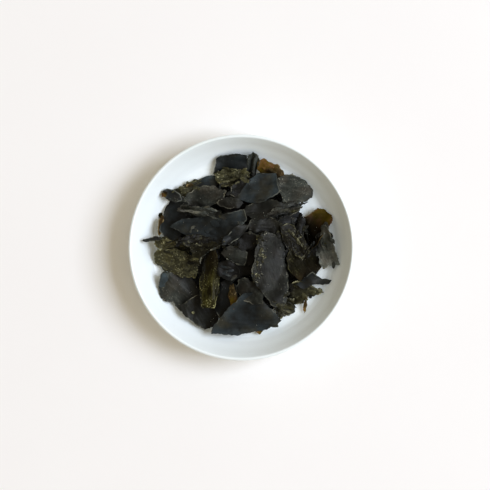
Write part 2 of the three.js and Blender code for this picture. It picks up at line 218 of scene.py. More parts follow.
def dish_profile():
    """Section of the dish, from the axis under the floor round foot and lip to the axis on the floor."""
    underside = FLOOR_TOP - FLOOR_THICKNESS
    foot = [
        (0, underside),
        (FOOT_INNER_RADIUS - 2 * FOOT_CHAMFER, underside),
        (FOOT_INNER_RADIUS - FOOT_CHAMFER, underside - FOOT_CHAMFER / 2),
        (FOOT_INNER_RADIUS, FOOT_CHAMFER / 3),
        (FOOT_INNER_RADIUS + FOOT_CHAMFER / 3, 0),
        (FOOT_OUTER_RADIUS - FOOT_CHAMFER, 0),
        (FOOT_OUTER_RADIUS - FOOT_CHAMFER / 3, FOOT_CHAMFER / 5),
        (FOOT_OUTER_RADIUS, FOOT_CHAMFER),
        (FOOT_OUTER_RADIUS + FOOT_CHAMFER / 2, underside - FOOT_CHAMFER / 3),
        (FOOT_OUTER_RADIUS + 2 * FOOT_CHAMFER, underside),
    ]
    share = np.linspace(0, 1, WALL_STEPS + 1)
    radius = FLOOR_RADIUS + (RIM_INNER_RADIUS - FLOOR_RADIUS) * share
    wall = np.column_stack([radius, inside_height(radius)])
    steepness = share * (1 - WALL_FLARE * share) / (1 / 2 - WALL_FLARE / 3)
    slope = steepness * (RIM_INNER_HEIGHT - FLOOR_TOP) / (RIM_INNER_RADIUS - FLOOR_RADIUS)
    into = np.column_stack([slope, -np.ones_like(slope)]) / np.hypot(slope, 1)[:, None]
    thickness = WALL_BASE_THICKNESS + (LIP_THICKNESS - WALL_BASE_THICKNESS) * share
    outside = wall + into * thickness[:, None]
    lip_centre = wall[-1] + into[-1] * LIP_THICKNESS / 2
    start = math.atan2(into[-1][1], into[-1][0])
    angles = start + np.linspace(0, math.pi, LIP_STEPS + 1)[1:-1]
    lip = lip_centre + np.column_stack([np.cos(angles), np.sin(angles)]) * LIP_THICKNESS / 2
    return np.vstack([foot, outside, lip, wall[::-1], [(0, FLOOR_TOP)]])


def start_tree(name, inputs, result):
    """A Geometry Nodes tree with its named inputs, each with its kind of socket, and a material."""
    tree = bpy.data.node_groups.new(name, "GeometryNodeTree")
    for socket, kind in {**inputs, "Material": "Material"}.items():
        tree.interface.new_socket(socket, in_out="INPUT", socket_type=f"NodeSocket{kind}")
    tree.interface.new_socket(result, in_out="OUTPUT", socket_type="NodeSocketGeometry")
    return tree, add_node(tree, "NodeGroupInput").outputs


def end_tree(tree, made, given):
    """Ends a tree: what was made becomes real geometry in its material."""
    real = add_node(tree, "GeometryNodeRealizeInstances", {"Geometry": made})
    coated = add_node(tree, "GeometryNodeSetMaterial", {"Geometry": real, "Material": given["Material"]})
    add_node(tree, "NodeGroupOutput", (coated,))
    return tree


def lathe_tree():
    """Geometry Nodes that turn a profile of connected points (x outwards, z up) round the Z axis."""
    tree, given = start_tree("lathe", {"Profile": "Geometry", "Segments": "Int"}, "Turned")
    size = add_node(tree, "GeometryNodeAttributeDomainSize", {"Geometry": given["Profile"]})
    columns = add_node(tree, "ShaderNodeMath", (given["Segments"], 1.0), operation="ADD")
    counts = {"Vertices X": size.outputs["Point Count"], "Vertices Y": columns}
    sheet = add_node(tree, "GeometryNodeMeshGrid", {"Size X": 1.0, "Size Y": 1.0, **counts})
    index = add_node(tree, "GeometryNodeInputIndex")
    row = add_node(tree, "ShaderNodeMath", (index, columns), operation="DIVIDE")
    row = add_node(tree, "ShaderNodeMath", (row,), operation="FLOOR")
    place = add_node(tree, "GeometryNodeInputPosition")
    sample = {"Geometry": given["Profile"], "Value": place, "Index": row}
    point = add_node(tree, "GeometryNodeSampleIndex", sample, data_type="FLOAT_VECTOR")
    across = add_node(tree, "ShaderNodeSeparateXYZ", (place,)).outputs["Y"]
    angle = add_node(tree, "ShaderNodeMath", (across, 2 * math.pi), operation="MULTIPLY")
    turn = {"Vector": point, "Axis": (0.0, 0.0, 1.0), "Angle": angle}
    turned = add_node(tree, "ShaderNodeVectorRotate", turn, rotation_type="AXIS_ANGLE")
    bent = add_node(tree, "GeometryNodeSetPosition", {"Geometry": sheet, "Position": turned})
    seam = {"Geometry": bent, "Distance": MERGE_DISTANCE * MM}
    closed = add_node(tree, "GeometryNodeMergeByDistance", seam)
    smooth = add_node(tree, "GeometryNodeSetShadeSmooth", {"Geometry": closed})
    return end_tree(tree, smooth, given)


def apply_tree(piece, tree, sizes):
    """Runs a Geometry Nodes tree on a piece with its named sizes, and keeps the result as a plain mesh."""
    modifier = piece.modifiers.new(tree.name, "NODES")
    modifier.node_group = tree
    for socket in tree.interface.items_tree:
        if socket.in_out == "INPUT" and socket.name in sizes:
            modifier[socket.identifier] = sizes[socket.name]
    depsgraph = bpy.context.evaluated_depsgraph_get()
    made = bpy.data.meshes.new_from_object(piece.evaluated_get(depsgraph), depsgraph=depsgraph)
    piece.modifiers.remove(modifier)
    piece.data = made


def turned_piece(name, profile, segments, material):
    """A round piece turned from its profile in millimetres."""
    line = bpy.data.meshes.new(name)
    points = [(radius * MM, 0, height * MM) for radius, height in profile]
    line.from_pydata(points, [(i, i + 1) for i in range(len(points) - 1)], [])
    piece = put_in_scene(name, line)
    apply_tree(piece, lathe, {"Segments": segments, "Material": material})
    merged = bmesh.new()
    merged.from_mesh(piece.data)
    bmesh.ops.dissolve_degenerate(merged, dist=MERGE_DISTANCE * MM / 10, edges=merged.edges)
    bmesh.ops.recalc_face_normals(merged, faces=merged.faces)
    merged.to_mesh(piece.data)
    merged.free()
    return piece


def glazed_porcelain():
    """White porcelain, clear glazed: cool white, glossy, faintly ringed from turning; its bare foot dull."""
    material = bare_material("glazed_porcelain")
    tree = material.node_tree
    place = add_node(tree, "ShaderNodeTexCoord").outputs["Object"]
    height = add_node(tree, "ShaderNodeSeparateXYZ", (place,)).outputs["Z"]
    dipped = {"Value": height, "From Min": GLAZE_START * MM, "From Max": GLAZE_FULL * MM}
    glazed = add_node(tree, "ShaderNodeMapRange", dipped)
    waves = {"Vector": place, "Scale": 1 / (GLAZE_RIPPLE * MM), "Detail": 1.0}
    ripple = add_node(tree, "ShaderNodeTexNoise", waves)
    tints = {"Factor": ripple, "A": linear("#f0f8f6"), "B": linear("#f5fbf9")}
    glaze = add_node(tree, "ShaderNodeMix", tints, data_type="RGBA")
    colours = {"Factor": glazed, "A": linear("#e6ddcf"), "B": glaze}
    colour = add_node(tree, "ShaderNodeMix", colours, data_type="RGBA")
    gloss = {"Value": glazed, "To Min": BARE_ROUGHNESS, "To Max": GLAZE_ROUGHNESS}
    gloss = add_node(tree, "ShaderNodeMapRange", gloss)
    level = add_node(tree, "ShaderNodeVectorMath", (place, (1, 1, 0)), operation="MULTIPLY")
    radius = add_node(tree, "ShaderNodeVectorMath", (level,), operation="LENGTH")
    rings = {"W": radius, "Scale": 1 / (TURNING_RING * MM), "Detail": 1.0}
    rings = add_node(tree, "ShaderNodeTexNoise", rings, noise_dimensions="1D")
    swell = add_node(tree, "ShaderNodeMath", (ripple, rings), operation="ADD")
    bump = {"Height": swell, "Strength": 0.4, "Distance": RIPPLE_DEPTH * MM}
    bump = add_node(tree, "ShaderNodeBump", bump)
    finish = {"Base Color": colour, "Roughness": gloss, "IOR": 1.5, "Normal": bump}
    porcelain = add_node(tree, "ShaderNodeBsdfPrincipled", finish)
    add_node(tree, "ShaderNodeOutputMaterial", {"Surface": porcelain})
    return material


lathe = lathe_tree()
dish = turned_piece("dish_porcelain", dish_profile(), DISH_SEGMENTS, glazed_porcelain())
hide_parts("dish")
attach(dish, "root")

# Core of the heap
# The imported crumbs and broken leaf at the bottom of the heap, which settled there as the dish was filled and
# only show as dark gaps between the flakes; they are made darker still as painted shade for those gaps.
CORE_RADIUS = 29.0
CORE_HEIGHT = 11.0
CORE_ROUNDNESS = 3
CORE_SINK = 4.5
DISH_GAP = 0.35
CORE_STEPS = 40
CORE_SEGMENTS = 150
CRUMB_SIZE = 2.2
CRUMB_HEIGHT = 1.4
CRUMB_LEVEL = 0.75
DUST_GRAIN = 0.8
DUST_DEPTH = 0.3


def core_height(radius):
    """Top of the core that the flakes were laid on, at a distance from the dish's axis."""
    share = np.maximum(0, 1 - (np.asarray(radius) / CORE_RADIUS) ** CORE_ROUNDNESS)
    return FLOOR_TOP + DISH_GAP + CORE_HEIGHT * share


def crumple_tree():
    """Geometry Nodes that push a surface in and out along its normals in lumps of a given size."""
    inputs = {"Surface": "Geometry", "Lump Size": "Float", "Lump Height": "Float"}
    tree, given = start_tree("crumple", inputs, "Crumpled")
    place = add_node(tree, "GeometryNodeInputPosition")
    pitch = add_node(tree, "ShaderNodeMath", (1.0, given["Lump Size"]), operation="DIVIDE")
    lumps = add_node(tree, "ShaderNodeTexNoise", {"Vector": place, "Scale": pitch, "Detail": 3.0})
    centred = add_node(tree, "ShaderNodeMath", (lumps, CRUMB_LEVEL), operation="SUBTRACT")
    push = add_node(tree, "ShaderNodeMath", (centred, given["Lump Height"]), operation="MULTIPLY")
    outward = add_node(tree, "GeometryNodeInputNormal")
    shift = add_node(tree, "ShaderNodeVectorMath", {"Vector": outward, "Scale": push}, operation="SCALE")
    rough = add_node(tree, "GeometryNodeSetPosition", {"Geometry": given["Surface"], "Offset": shift})
    return end_tree(tree, rough, given)


def seaweed_dust_in_painted_shade():
    """Broken dried seaweed: dull, nearly black, with olive grains, made darker still as painted shade in the
    gaps.
    """
    material = bare_material("seaweed_dust_in_painted_shade")
    tree = material.node_tree
    place = add_node(tree, "ShaderNodeTexCoord").outputs["Object"]
    grains = {"Vector": place, "Scale": 1 / (DUST_GRAIN * MM), "Detail": 3.0}
    grains = add_node(tree, "ShaderNodeTexNoise", grains)
    shades = {"Factor": grains, "A": linear("#030403"), "B": linear("#0d0d0a")}
    colour = add_node(tree, "ShaderNodeMix", shades, data_type="RGBA")
    bump = add_node(tree, "ShaderNodeBump", {"Height": grains, "Strength": 0.8, "Distance": DUST_DEPTH * MM})
    dust = {"Base Color": colour, "Roughness": 0.8, "Normal": bump}
    dust = add_node(tree, "ShaderNodeBsdfPrincipled", dust)
    add_node(tree, "ShaderNodeOutputMaterial", {"Surface": dust})
    return material


core_bed = FLOOR_TOP + DISH_GAP
core_radii = np.linspace(CORE_RADIUS, 0, CORE_STEPS + 1)
core_dome = np.column_stack([core_radii, np.maximum(core_height(core_radii) - CORE_SINK, core_bed)])
core_bottom = [(0, core_bed - DISH_GAP / 2), (CORE_RADIUS, core_bed - DISH_GAP / 2)]
core = turned_piece("heap_core", np.vstack([core_bottom, core_dome]), CORE_SEGMENTS, None)
lumps = {"Lump Size": CRUMB_SIZE * MM, "Lump Height": CRUMB_HEIGHT * MM, "Material": seaweed_dust_in_painted_shade()}
apply_tree(core, crumple_tree(), lumps)
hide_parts("wakame_heap")
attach(core, "root")

# Flakes
# Blades of wakame that were cut and dried until they curled, shrank and broke: thin, brittle, leathery sheets
# that lie on each other as they fell. Smooth blades are blue-black, frills grey, ribs olive, thin ends amber.
FLAKE_THICKNESS = 0.8
BEDDING = 0.65
STEEPEST_SLOPE = 0.7
SLOPE_STEPS = 7
SLOPE_COST = 5
LEAN_SPREAD = 0.55
WAVE_LENGTH = 18
WAVE_HEIGHT = 0.5
WAVE_SKEW = 0.6
WAVE_FULL_HALF_LENGTH = 9
PLEAT_PITCH = 2.6
LONGEST_EDGE = 8
FEELER_RINGS = (0.3, 0.55, 0.8, 1)
SMALL_FLAKE_LENGTH = 8
SMALL_FLAKE_SIDES = 6
FLAKE_SIDES = 8
SIDE_JITTER = 0.5
LEAST_REACH = 0.94
REACH_SPREAD = 0.16
SEED_STEP = 10
LEAN_DRAWS = (7, 8)
PHASE_DRAW = 9
FILL_COUNT = 12
FILL_RADIUS = 24
FILL_SIZE = (16, 11)
FILL_TURN = 60
# The bottom flakes are kept dark, as painted shade where they show through gaps.
FILL_LOOK = dict(shade=0.35, edge=0.3, sink=3.0)
GOLDEN_ANGLE = 137.5
# How far around the heap's mean top is taken, and how far flakes are painted darker in its hollows
# and paler on its crests: painted shade and light.
HOLLOW_REACH = 2
HOLLOW_FADE = 1.5
HIGHEST_CREST = 0.5
DEEPEST_HOLLOW = 3.0
BEND_COUNT = 4
BEND_NEAREST = 0.2
BEND_SPREAD = 0.45
BEND_STEEPEST = 0.55
BEND_SOFTNESS = 0.25
BEND_LIMIT = 1.6
BEND_ANGLE_DRAW = 20
BEND_PLACE_DRAW = 30
BEND_STEEPNESS_DRAW = 40
LEAF_MIDDLE_THICKNESS = 0.42
LEAF_EDGE_THICKNESS = 0.16
EDGE_TAPER = 0.9
DRAPE = 0.3
MESH_SPACING = 0.7
MESH_JITTER = 0.2
MESH_MARGIN = 0.55
MESH_MERGE = 1e-6
TRIANGLES_INSIDE = 1
TEAR_STEP = 0.6
TEAR_FALLOFF = 0.5
PATTERN_STEP = 37.0

# Each kind of leaf has a function that makes its rows in the tables.
blade, grey, olive, amber, rib = (
    partial(dict, kind=kind) for kind in ("blade", "grey", "olive", "amber", "rib")
)

# The flakes that show, from the lowest to the topmost. A flake is given by its middle (at), length and width
# (size) and the way its grain runs (turn, degrees), or by its outline's corners seen from above.
# cup lifts its long edges, curl its far end, and pleat is half the depth of its folds. shade makes it paler
# or darker than its kind, and on flakes that lie deep in the heap it is set low as painted shade. crumbly is
# how far its surface has broken up, specks how many pale crumbs lie along its rim, and edge how pale the rim
# itself is, partly a painted highlight where the thin rim catches the light. tip moves the start of a
# coloured end, and glow is how bright that end is, on amber ends partly painted light shining through the
# thin leaf. litter and slivers count the scraps on it. sink lowers a flake, and dull_rim dulls a pale rim.
SHOWN_FLAKES = {
    "teal_back": blade(at=(-27.9, 11.7), size=(20, 11), turn=72, shade=1.9),
    "rust_edge": amber(at=(-34, 9.2), size=(9.2, 2.6), turn=84, shade=4, crumbly=1.4, edge=2.6, tip=-0.8),
    "red_brown_back": olive(at=(-22.5, 24.6), size=(15, 6.5), turn=22, shade=2, specks=0.8, litter=5),
    "blue_chip": blade(at=(-14, 27.6), size=(10, 5.5), turn=10, shade=6.5),
    "brown_right": rib(
        at=(26.4, -6.2), size=(17, 15), turn=-60, cup=1.5, shade=0.15, crumbly=0.4, edge=0.1, glow=2.4,
    ),
    "olive_tail": olive(
        turn=-15, cup=0.8, shade=1.9, crumbly=0.5, edge=1.3, litter=6,
        corners=[
            (19, -14), (24, -14.2), (29, -15.6), (34, -18.2), (31, -20.2),
            (27.5, -20.4), (26.2, -23.6), (22.4, -23.9), (19.5, -20),
        ],
    ),
    "twig_rust": amber(at=(26.8, -24), size=(7.6, 1.6), turn=-95, shade=5, crumbly=1.4, glow=2),
    "front_crumple": olive(
        turn=-25, pleat=0.7, shade=1.2, crumbly=0.5, specks=1, edge=1.4, litter=4, slivers=4,
        corners=[
            (12.8, -24.2), (17, -21), (22.3, -21.6), (22.6, -26.6),
            (21.4, -28), (18.9, -28.3), (16.6, -29.8), (14.8, -28.2),
        ],
    ),
    "blue_curl": blade(
        turn=-5, cup=1.2, shade=1.3,
        corners=[
            (22.5, -15.8), (26.5, -12.5), (30, -9.8), (31.6, -11.6), (34.2, -13.2),
            (37.9, -13.6), (37.2, -15), (34, -15.8), (30.5, -15.6), (26, -17.4),
        ],
    ),
    "amber_right": amber(
        turn=50, cup=1.8, shade=0.3, tip=0.2, glow=0.6,
        corners=[
            (26.2, 13), (31.9, 16.8), (34.8, 16.2), (37.9, 13.8), (38.4, 11.4),
            (36.8, 8), (32.6, 2), (29.2, -1), (26.6, 4),
        ],
    ),
    # dark_slat is set near black as painted shade in the slot beside the right leaf.
    "dark_slat": grey(at=(24.8, 8), size=(12.5, 4), turn=85, cup=-1, shade=0.1, edge=0.2),
    "lower_left": grey(
        turn=-50, cup=-0.8, shade=4.6, crumbly=0.3, specks=1.2,
        corners=[
            (-34.9, -16.7), (-33.4, -10.4), (-27.5, -9.8), (-21, -13), (-17.5, -19),
            (-19.5, -27), (-26, -26.8), (-28.8, -22.9), (-32.1, -22.5), (-34.3, -20.5),
        ],
    ),
    "lower_left_end": grey(
        turn=-60,
        corners=[
            (-26, -24.4), (-23.9, -28.8), (-20.5, -31.2), (-15.6, -34.6),
            (-11.4, -33.2), (-8.5, -26.5), (-13, -20), (-20, -20.5),
        ],
    ),
    "olive_upper": olive(at=(-28, 0.8), size=(16.5, 7.5), turn=-8, shade=7.5, specks=2, litter=8, slivers=4),
    "olive_lower": olive(
        turn=-22, cup=-0.8, shade=3.4, crumbly=0.7, specks=3, litter=16,
        corners=[
            (-36.8, -4.4), (-35.8, -1.4), (-32, -0.8), (-23.9, -1.6), (-18.9, -5.7),
            (-18.5, -8), (-19.4, -12.8), (-25, -12.5), (-31.6, -10.1), (-35.2, -7.5),
        ],
    ),
    "rust_finger": blade(at=(-29.3, 21.6), size=(9.5, 5), turn=155, shade=1.2, specks=0.4),
    "top_pleats": grey(at=(4.4, 34.5), size=(12, 6.5), turn=80, pleat=0.8, shade=3.9),
    "top_blade": blade(
        turn=-10, shade=1.9,
        corners=[(-10.6, 37.6), (-9, 38.9), (-2.2, 39.6), (2.2, 38.8), (2, 32), (-6, 29), (-11.9, 31)],
    ),
    "top_olive": olive(
        turn=12, pleat=0.5, shade=3.2, crumbly=0.4, specks=2.4, litter=20,
        corners=[
            (-11.6, 31.5), (-6, 33), (1.5, 32.6), (4.5, 29.5),
            (1, 25.8), (-3, 24.6), (-8, 25.6), (-10.8, 28.5),
        ],
    ),
    "strips_right": grey(
        at=(18, 15.6), size=(17, 6.5), turn=15, pleat=0.8, shade=4.4, crumbly=0.4, slivers=7,
    ),
    "mid_right_top": grey(at=(9.3, 16), size=(16.5, 8.5), turn=12, shade=1.3),
    "mid_right_round": grey(at=(9.5, 8.8), size=(15, 9), turn=0, cup=-1, shade=1.3, specks=0.5),
    "blue_sliver": blade(at=(19.3, 11.2), size=(8, 5), turn=10, shade=0.6),
    # inner_dark and inner_teal are set dark as painted shade in the hollows in the middle of the heap.
    "inner_dark": grey(at=(2.7, 2.8), size=(10, 7.5), turn=30, shade=0.1, edge=0.2),
    "inner_teal": blade(at=(-5.5, -9.7), size=(10.5, 8), turn=-30, cup=0.8, shade=0.3, edge=0.2),
    "inner_low": blade(at=(-6.5, -21.5), size=(17, 11), turn=80),
    "amber_inner": amber(
        at=(-3.4, -20.3), size=(11.5, 4), turn=-88,
        shade=6, crumbly=1.6, specks=2, tip=0.2, glow=1.9, slivers=2,
    ),
    "far_right": grey(
        turn=-75, cup=0.8, shade=8, crumbly=0.9, specks=0.9, edge=1.2, litter=5,
        corners=[
            (33.8, 8.9), (36.9, 8.4), (39.5, 0), (41.3, -7.3), (36.3, -7.9), (34.4, -9.1),
            (32.6, -6), (33, -3.7), (31.3, -3.8), (31.6, 0.6), (34, 2.2),
        ],
    ),
    "right_leaf": olive(
        turn=-50, cup=-0.8, shade=0.2, crumbly=0.6, specks=0.4, litter=8,
        corners=[(15.5, 9.5), (20, 10.2), (25, 5.5), (29.1, -1.3), (25.2, -5.9), (20.5, -2.5), (17, 3.5)],
    ),
    "olive_roll": rib(
        turn=84, cup=-3, shade=0.6, crumbly=0.6, specks=2, tip=0.25, glow=0.6,
        corners=[
            (-17.3, -25.4), (-11.5, -25.4), (-9.2, -18), (-9.4, -9), (-10.2, -3),
            (-11, 0.5), (-13.6, 0), (-15.4, -4), (-16.4, -9), (-17.5, -15),
        ],
    ),
    "olive_arc": olive(
        turn=30, cup=1.2, shade=0.5, crumbly=0.4, edge=2.4,
        corners=[
            (-21.5, 1.3), (-10, 1.8), (-8.8, 0.2), (-12, -0.8),
            (-15.3, -3.3), (-17.6, -7.8), (-21.5, -5),
        ],
    ),
    "upper_right": grey(
        turn=-20, cup=0.6, shade=4.6, crumbly=0.35, specks=1.4, edge=1.3,
        corners=[
            (15.2, 28.7), (17.5, 30.3), (21.4, 31.2), (23.4, 29.8), (29.1, 25.9),
            (30.2, 23.7), (29.6, 21), (26.9, 19.2), (17.4, 18), (15, 25),
        ],
    ),
    "amber_back": amber(
        at=(12.3, 32.7), size=(13.6, 7), turn=145, cup=-1,
        shade=6, crumbly=0.8, specks=2, tip=0.4, glow=0.9, slivers=2,
    ),
    "brown_wedge": grey(at=(0, 25.2), size=(10.5, 7), turn=30, shade=0.3),
    "blue_grey": blade(
        turn=15, cup=0.7, shade=3.6,
        corners=[
            (-2.6, 20.6), (3, 28), (6.5, 31.2), (14.5, 31.3),
            (16.1, 23), (13.5, 21.2), (7.2, 18.6), (2, 19.2),
        ],
    ),
    "long_left": grey(
        turn=15, cup=-0.8, shade=3.5, crumbly=2, specks=0.4, edge=1.3,
        corners=[
            (-26, 19.3), (-23.3, 22.1), (-18.3, 25.4), (-11.7, 26.3), (-6.2, 23.7),
            (-7.3, 21), (-10, 18.8), (-13.9, 16.8), (-20.5, 17.1),
        ],
    ),
    "small_curl": grey(at=(-4.8, 18.8), size=(11.5, 5), turn=-5, curl=-1.2, shade=1.7, edge=1.2),
    "left_strips": grey(
        turn=-10, pleat=0.8, shade=5, specks=0.4, edge=1.3, litter=2, slivers=7,
        corners=[(-27, 16.3), (-24, 17.8), (-12, 16.4), (-5, 13.8), (-6, 12.2), (-16, 12), (-25.5, 14)],
    ),
    # under_big is set near black as painted shade under the big left blade.
    "under_big": olive(at=(-18, 3.2), size=(18, 4.5), turn=2, shade=0.1, edge=0.3, slivers=6),
    "big_left": blade(
        turn=8, cup=1, shade=2.5, litter=8,
        corners=[
            (-30.2, 8.8), (-25, 12.1), (-12, 13), (1.2, 16),
            (2.4, 11.6), (-5, 4), (-9.3, 1.2), (-22, 4.8),
        ],
    ),
    "lip": blade(at=(-2.8, 5.4), size=(14, 4.5), turn=38, cup=0.9, edge=2.2),
    "centre_chip": grey(
        turn=-10, shade=3.6, edge=1.5,
        corners=[(-8.4, -1.8), (-5, 0.8), (1, 1), (2.6, -2), (1.5, -7.5), (-2.5, -6.8), (-6.8, -4.2)],
    ),
    "front_back": grey(at=(3.2, -18.5), size=(14, 9), turn=-42, shade=2.1),
    "amber_chip": amber(at=(7.4, -31.6), size=(10.6, 4.2), turn=-90, shade=1.4, tip=0.3, glow=1.1),
    "front": blade(
        turn=-5, cup=-0.6, shade=2.6,
        corners=[
            (-12.8, -36.2), (-12, -33), (-5.4, -25), (1.2, -19.2), (5, -18.5), (16.8, -30.6),
            (15.3, -31.9), (15.4, -33.2), (12.4, -33.2), (11, -34.4), (6, -35.4), (-1.8, -37),
        ],
    ),
    "long_front": grey(
        turn=-78, cup=-0.8, shade=1.9, crumbly=0.25, specks=0.7,
        corners=[
            (9.2, 7.2), (17.6, 4), (18, -4), (19.8, -14), (18.5, -23.6),
            (16, -25.2), (12.5, -24.2), (6, -15.5), (4.2, -11), (6.6, 1),
        ],
    ),
    "twig_left": grey(at=(-37.6, 3.4), size=(9.6, 1.9), turn=6, shade=1.5),
}


def draw(seed):
    """A repeatable draw between 0 and 1."""
    value = math.sin(seed * 12.9898) * 43758.5453
    return value - math.floor(value)


def lies_inside(points, outline):
    """Which points lie inside a closed outline."""
    inside = np.zeros(len(points), bool)
    x, y = points[:, 0], points[:, 1]
    for (ax, ay), (bx, by) in zip(outline, np.roll(outline, 1, axis=0)):
        if ay != by:
            crosses = (ay > y) != (by > y)
            inside ^= crosses & (x < ax + (bx - ax) * (y - ay) / (by - ay))
    return inside


def uneven_oval(at, size, turn, seed):
    """Outline of a flake broken out of an oval: a few sides of uneven reach."""
    sides = FLAKE_SIDES if size[0] > SMALL_FLAKE_LENGTH else SMALL_FLAKE_SIDES
    side = range(sides)
    angle = np.array([(k + SIDE_JITTER * (draw(seed + k) - 0.5)) / sides * 2 * math.pi for k in side])
    reach = np.array([LEAST_REACH + REACH_SPREAD * draw(seed + k + 0.5) for k in side]) / 2
    along, across = np.cos(angle) * size[0] * reach, np.sin(angle) * size[1] * reach
    c, s = math.cos(turn), math.sin(turn)
    return np.column_stack([at[0] + along * c - across * s, at[1] + along * s + across * c])


def anticlockwise(corners):
    """An outline's corners, in the order that runs anticlockwise seen from above."""
    outline = np.array(corners, float)
    x, y = outline.T
    area = np.sum(x * np.roll(y, -1) - np.roll(x, -1) * y)
    return outline if area > 0 else outline[::-1]


class Flake:
    """One flake: its outline seen from above, its own bends, and the slope and height at which it rests."""

    def __init__(
        self, seed, kind, turn, at=None, size=None, corners=None,
        cup=0, curl=0, pleat=0, shade=1, crumbly=1, specks=0.15, edge=0.85,
        tip=0, glow=1, litter=0, slivers=0, sink=0, dull_rim=0,
    ):
        self.seed, self.kind, self.turn = seed, kind, math.radians(turn)
        self.cup, self.curl, self.pleat, self.sink = cup, curl, pleat, sink
        self.shade, self.crumbly, self.specks, self.edge = shade, crumbly, specks, edge
        self.tip, self.glow, self.dull_rim = tip, glow, dull_rim
        self.litter, self.slivers = litter, slivers
        outline = anticlockwise(corners) if corners else uneven_oval(at, size, self.turn, seed)
        rim = []
        for corner, following in zip(outline, np.roll(outline, -1, axis=0)):
            rim.append(corner)
            if np.linalg.norm(following - corner) > LONGEST_EDGE:
                rim.append((corner + following) / 2)
        self.rim = np.array(rim)
        self.middle = self.rim.mean(axis=0)
        self.half_length, self.half_width = np.abs(self.in_grain(self.rim)).max(axis=0)
        self.phase = 2 * math.pi * draw(seed + PHASE_DRAW)
        self.lean = np.array([LEAN_SPREAD * (draw(seed + n) - 0.5) for n in LEAN_DRAWS])
        self.slope, self.height, self.bed = np.zeros(2), 0.0, None

    def in_grain(self, points):
        """Points as distances along and across the grain from the flake's middle."""
        c, s = math.cos(self.turn), math.sin(self.turn)
        return (points - self.middle) @ np.array([[c, -s], [s, c]])

    def relief(self, points):
        """Height of the flake's own bends over its plane."""
        x, y = self.in_grain(points).T
        along, across = x / self.half_length, y / self.half_width
        wave = np.sin(2 * math.pi * (x + WAVE_SKEW * y) / WAVE_LENGTH + self.phase)
        zigzag = np.abs((y / PLEAT_PITCH + 1 / 4) % 1 - 1 / 2) * 4 - 1
        return (
            self.cup * across**2
            + self.curl * np.maximum(0, along) ** 2
            + WAVE_HEIGHT * min(1, self.half_length / WAVE_FULL_HALF_LENGTH) * wave
            + self.pleat * zigzag
        )

    def surface(self, points):
        """Height of the laid flake's middle layer."""
        return self.height + (points - self.middle) @ self.slope + self.relief(points)

    def bends(self, points):
        """Height that the flake gains or loses where it bent along a few straight lines as it dried."""
        own = self.in_grain(points)
        height = np.zeros(len(points))
        for n in range(BEND_COUNT):
            angle = 2 * math.pi * (n + draw(self.seed + BEND_ANGLE_DRAW + n)) / BEND_COUNT
            way = np.array([math.cos(angle), math.sin(angle)])
            reach = np.hypot(way[0] * self.half_length, way[1] * self.half_width)
            past = own @ way - reach * (BEND_NEAREST + BEND_SPREAD * draw(self.seed + BEND_PLACE_DRAW + n))
            steep = BEND_STEEPEST * (2 * draw(self.seed + BEND_STEEPNESS_DRAW + n) - 1)
            height += steep * BEND_SOFTNESS * np.logaddexp(0, past / BEND_SOFTNESS)
        return BEND_LIMIT * np.tanh(height / BEND_LIMIT)

    def feelers(self):
        """Points on rings from near the flake's middle out to its rim, by which it finds its rest."""
        return np.vstack([self.middle + (self.rim - self.middle) * share for share in FEELER_RINGS])

    def settle(self, pile):
        """Takes the slope at which its middle rests lowest, a little bedded in and clear of the dish."""
        points = np.vstack([self.middle, self.feelers()])
        floor = inside_height(np.hypot(*points.T)) + DISH_GAP
        support = np.maximum(pile.top_at(points) - BEDDING, floor) + FLAKE_THICKNESS / 2
        steps = np.arange(-SLOPE_STEPS, SLOPE_STEPS + 1) * STEEPEST_SLOPE / SLOPE_STEPS
        slopes = np.array([(sx, sy) for sx in steps for sy in steps])
        heights = (support - self.relief(points) - slopes @ (points - self.middle).T).max(axis=1)
        best = np.argmin(heights + SLOPE_COST * ((slopes - self.lean) ** 2).sum(axis=1))
        self.slope, self.height = slopes[best], heights[best]
        pile.add(self)


class Pile:
    """Top of what already lies in the dish, on a square grid of 1 mm cells."""

    def __init__(self):
        self.reach = math.ceil(dish_radius_mm)
        self.side = 2 * self.reach + 1
        axis = np.arange(-self.reach, self.reach + 1)
        x, y = np.meshgrid(axis, axis)
        self.cells = np.column_stack([x.ravel(), y.ravel()]).astype(float)
        radius = np.hypot(*self.cells.T)
        self.tops = np.maximum(inside_height(radius), core_height(radius))

    def cell_at(self, points):
        """Number of the cell that each point lies in."""
        column, row = np.floor(points + 0.5).astype(int).T + self.reach
        return row * self.side + column

    def top_at(self, points):
        """Top of the pile at each point."""
        return self.tops[self.cell_at(points)]

    def add(self, flake):
        """Raises the pile by a flake that has settled on it."""
        under = lies_inside(self.cells, flake.rim)
        tops = flake.surface(self.cells[under]) + FLAKE_THICKNESS / 2
        self.tops[under] = np.maximum(self.tops[under], tops)

    def depth_at(self, points, height):
        """How far a height lies under the mean top of the pile around each point."""
        steps = range(-HOLLOW_REACH, HOLLOW_REACH + 1)
        grid = self.tops.reshape(self.side, self.side)
        around = np.mean([np.roll(grid, (i, j), axis=(0, 1)) for i in steps for j in steps], axis=0)
        return around.ravel()[self.cell_at(points)] - height


def fill_rows():
    """Flakes at the bottom of the heap, on a sunflower spiral, kept dark as painted shade where they show
    through.
    """
    for i in range(FILL_COUNT):
        radius = FILL_RADIUS * math.sqrt((i + 0.5) / FILL_COUNT)
        angle = math.radians(GOLDEN_ANGLE * i)
        at = (radius * math.cos(angle), radius * math.sin(angle))
        kind = ("blade", "grey")[i % 2]
        yield dict(kind=kind, at=at, size=FILL_SIZE, turn=GOLDEN_ANGLE * i + FILL_TURN, **FILL_LOOK)


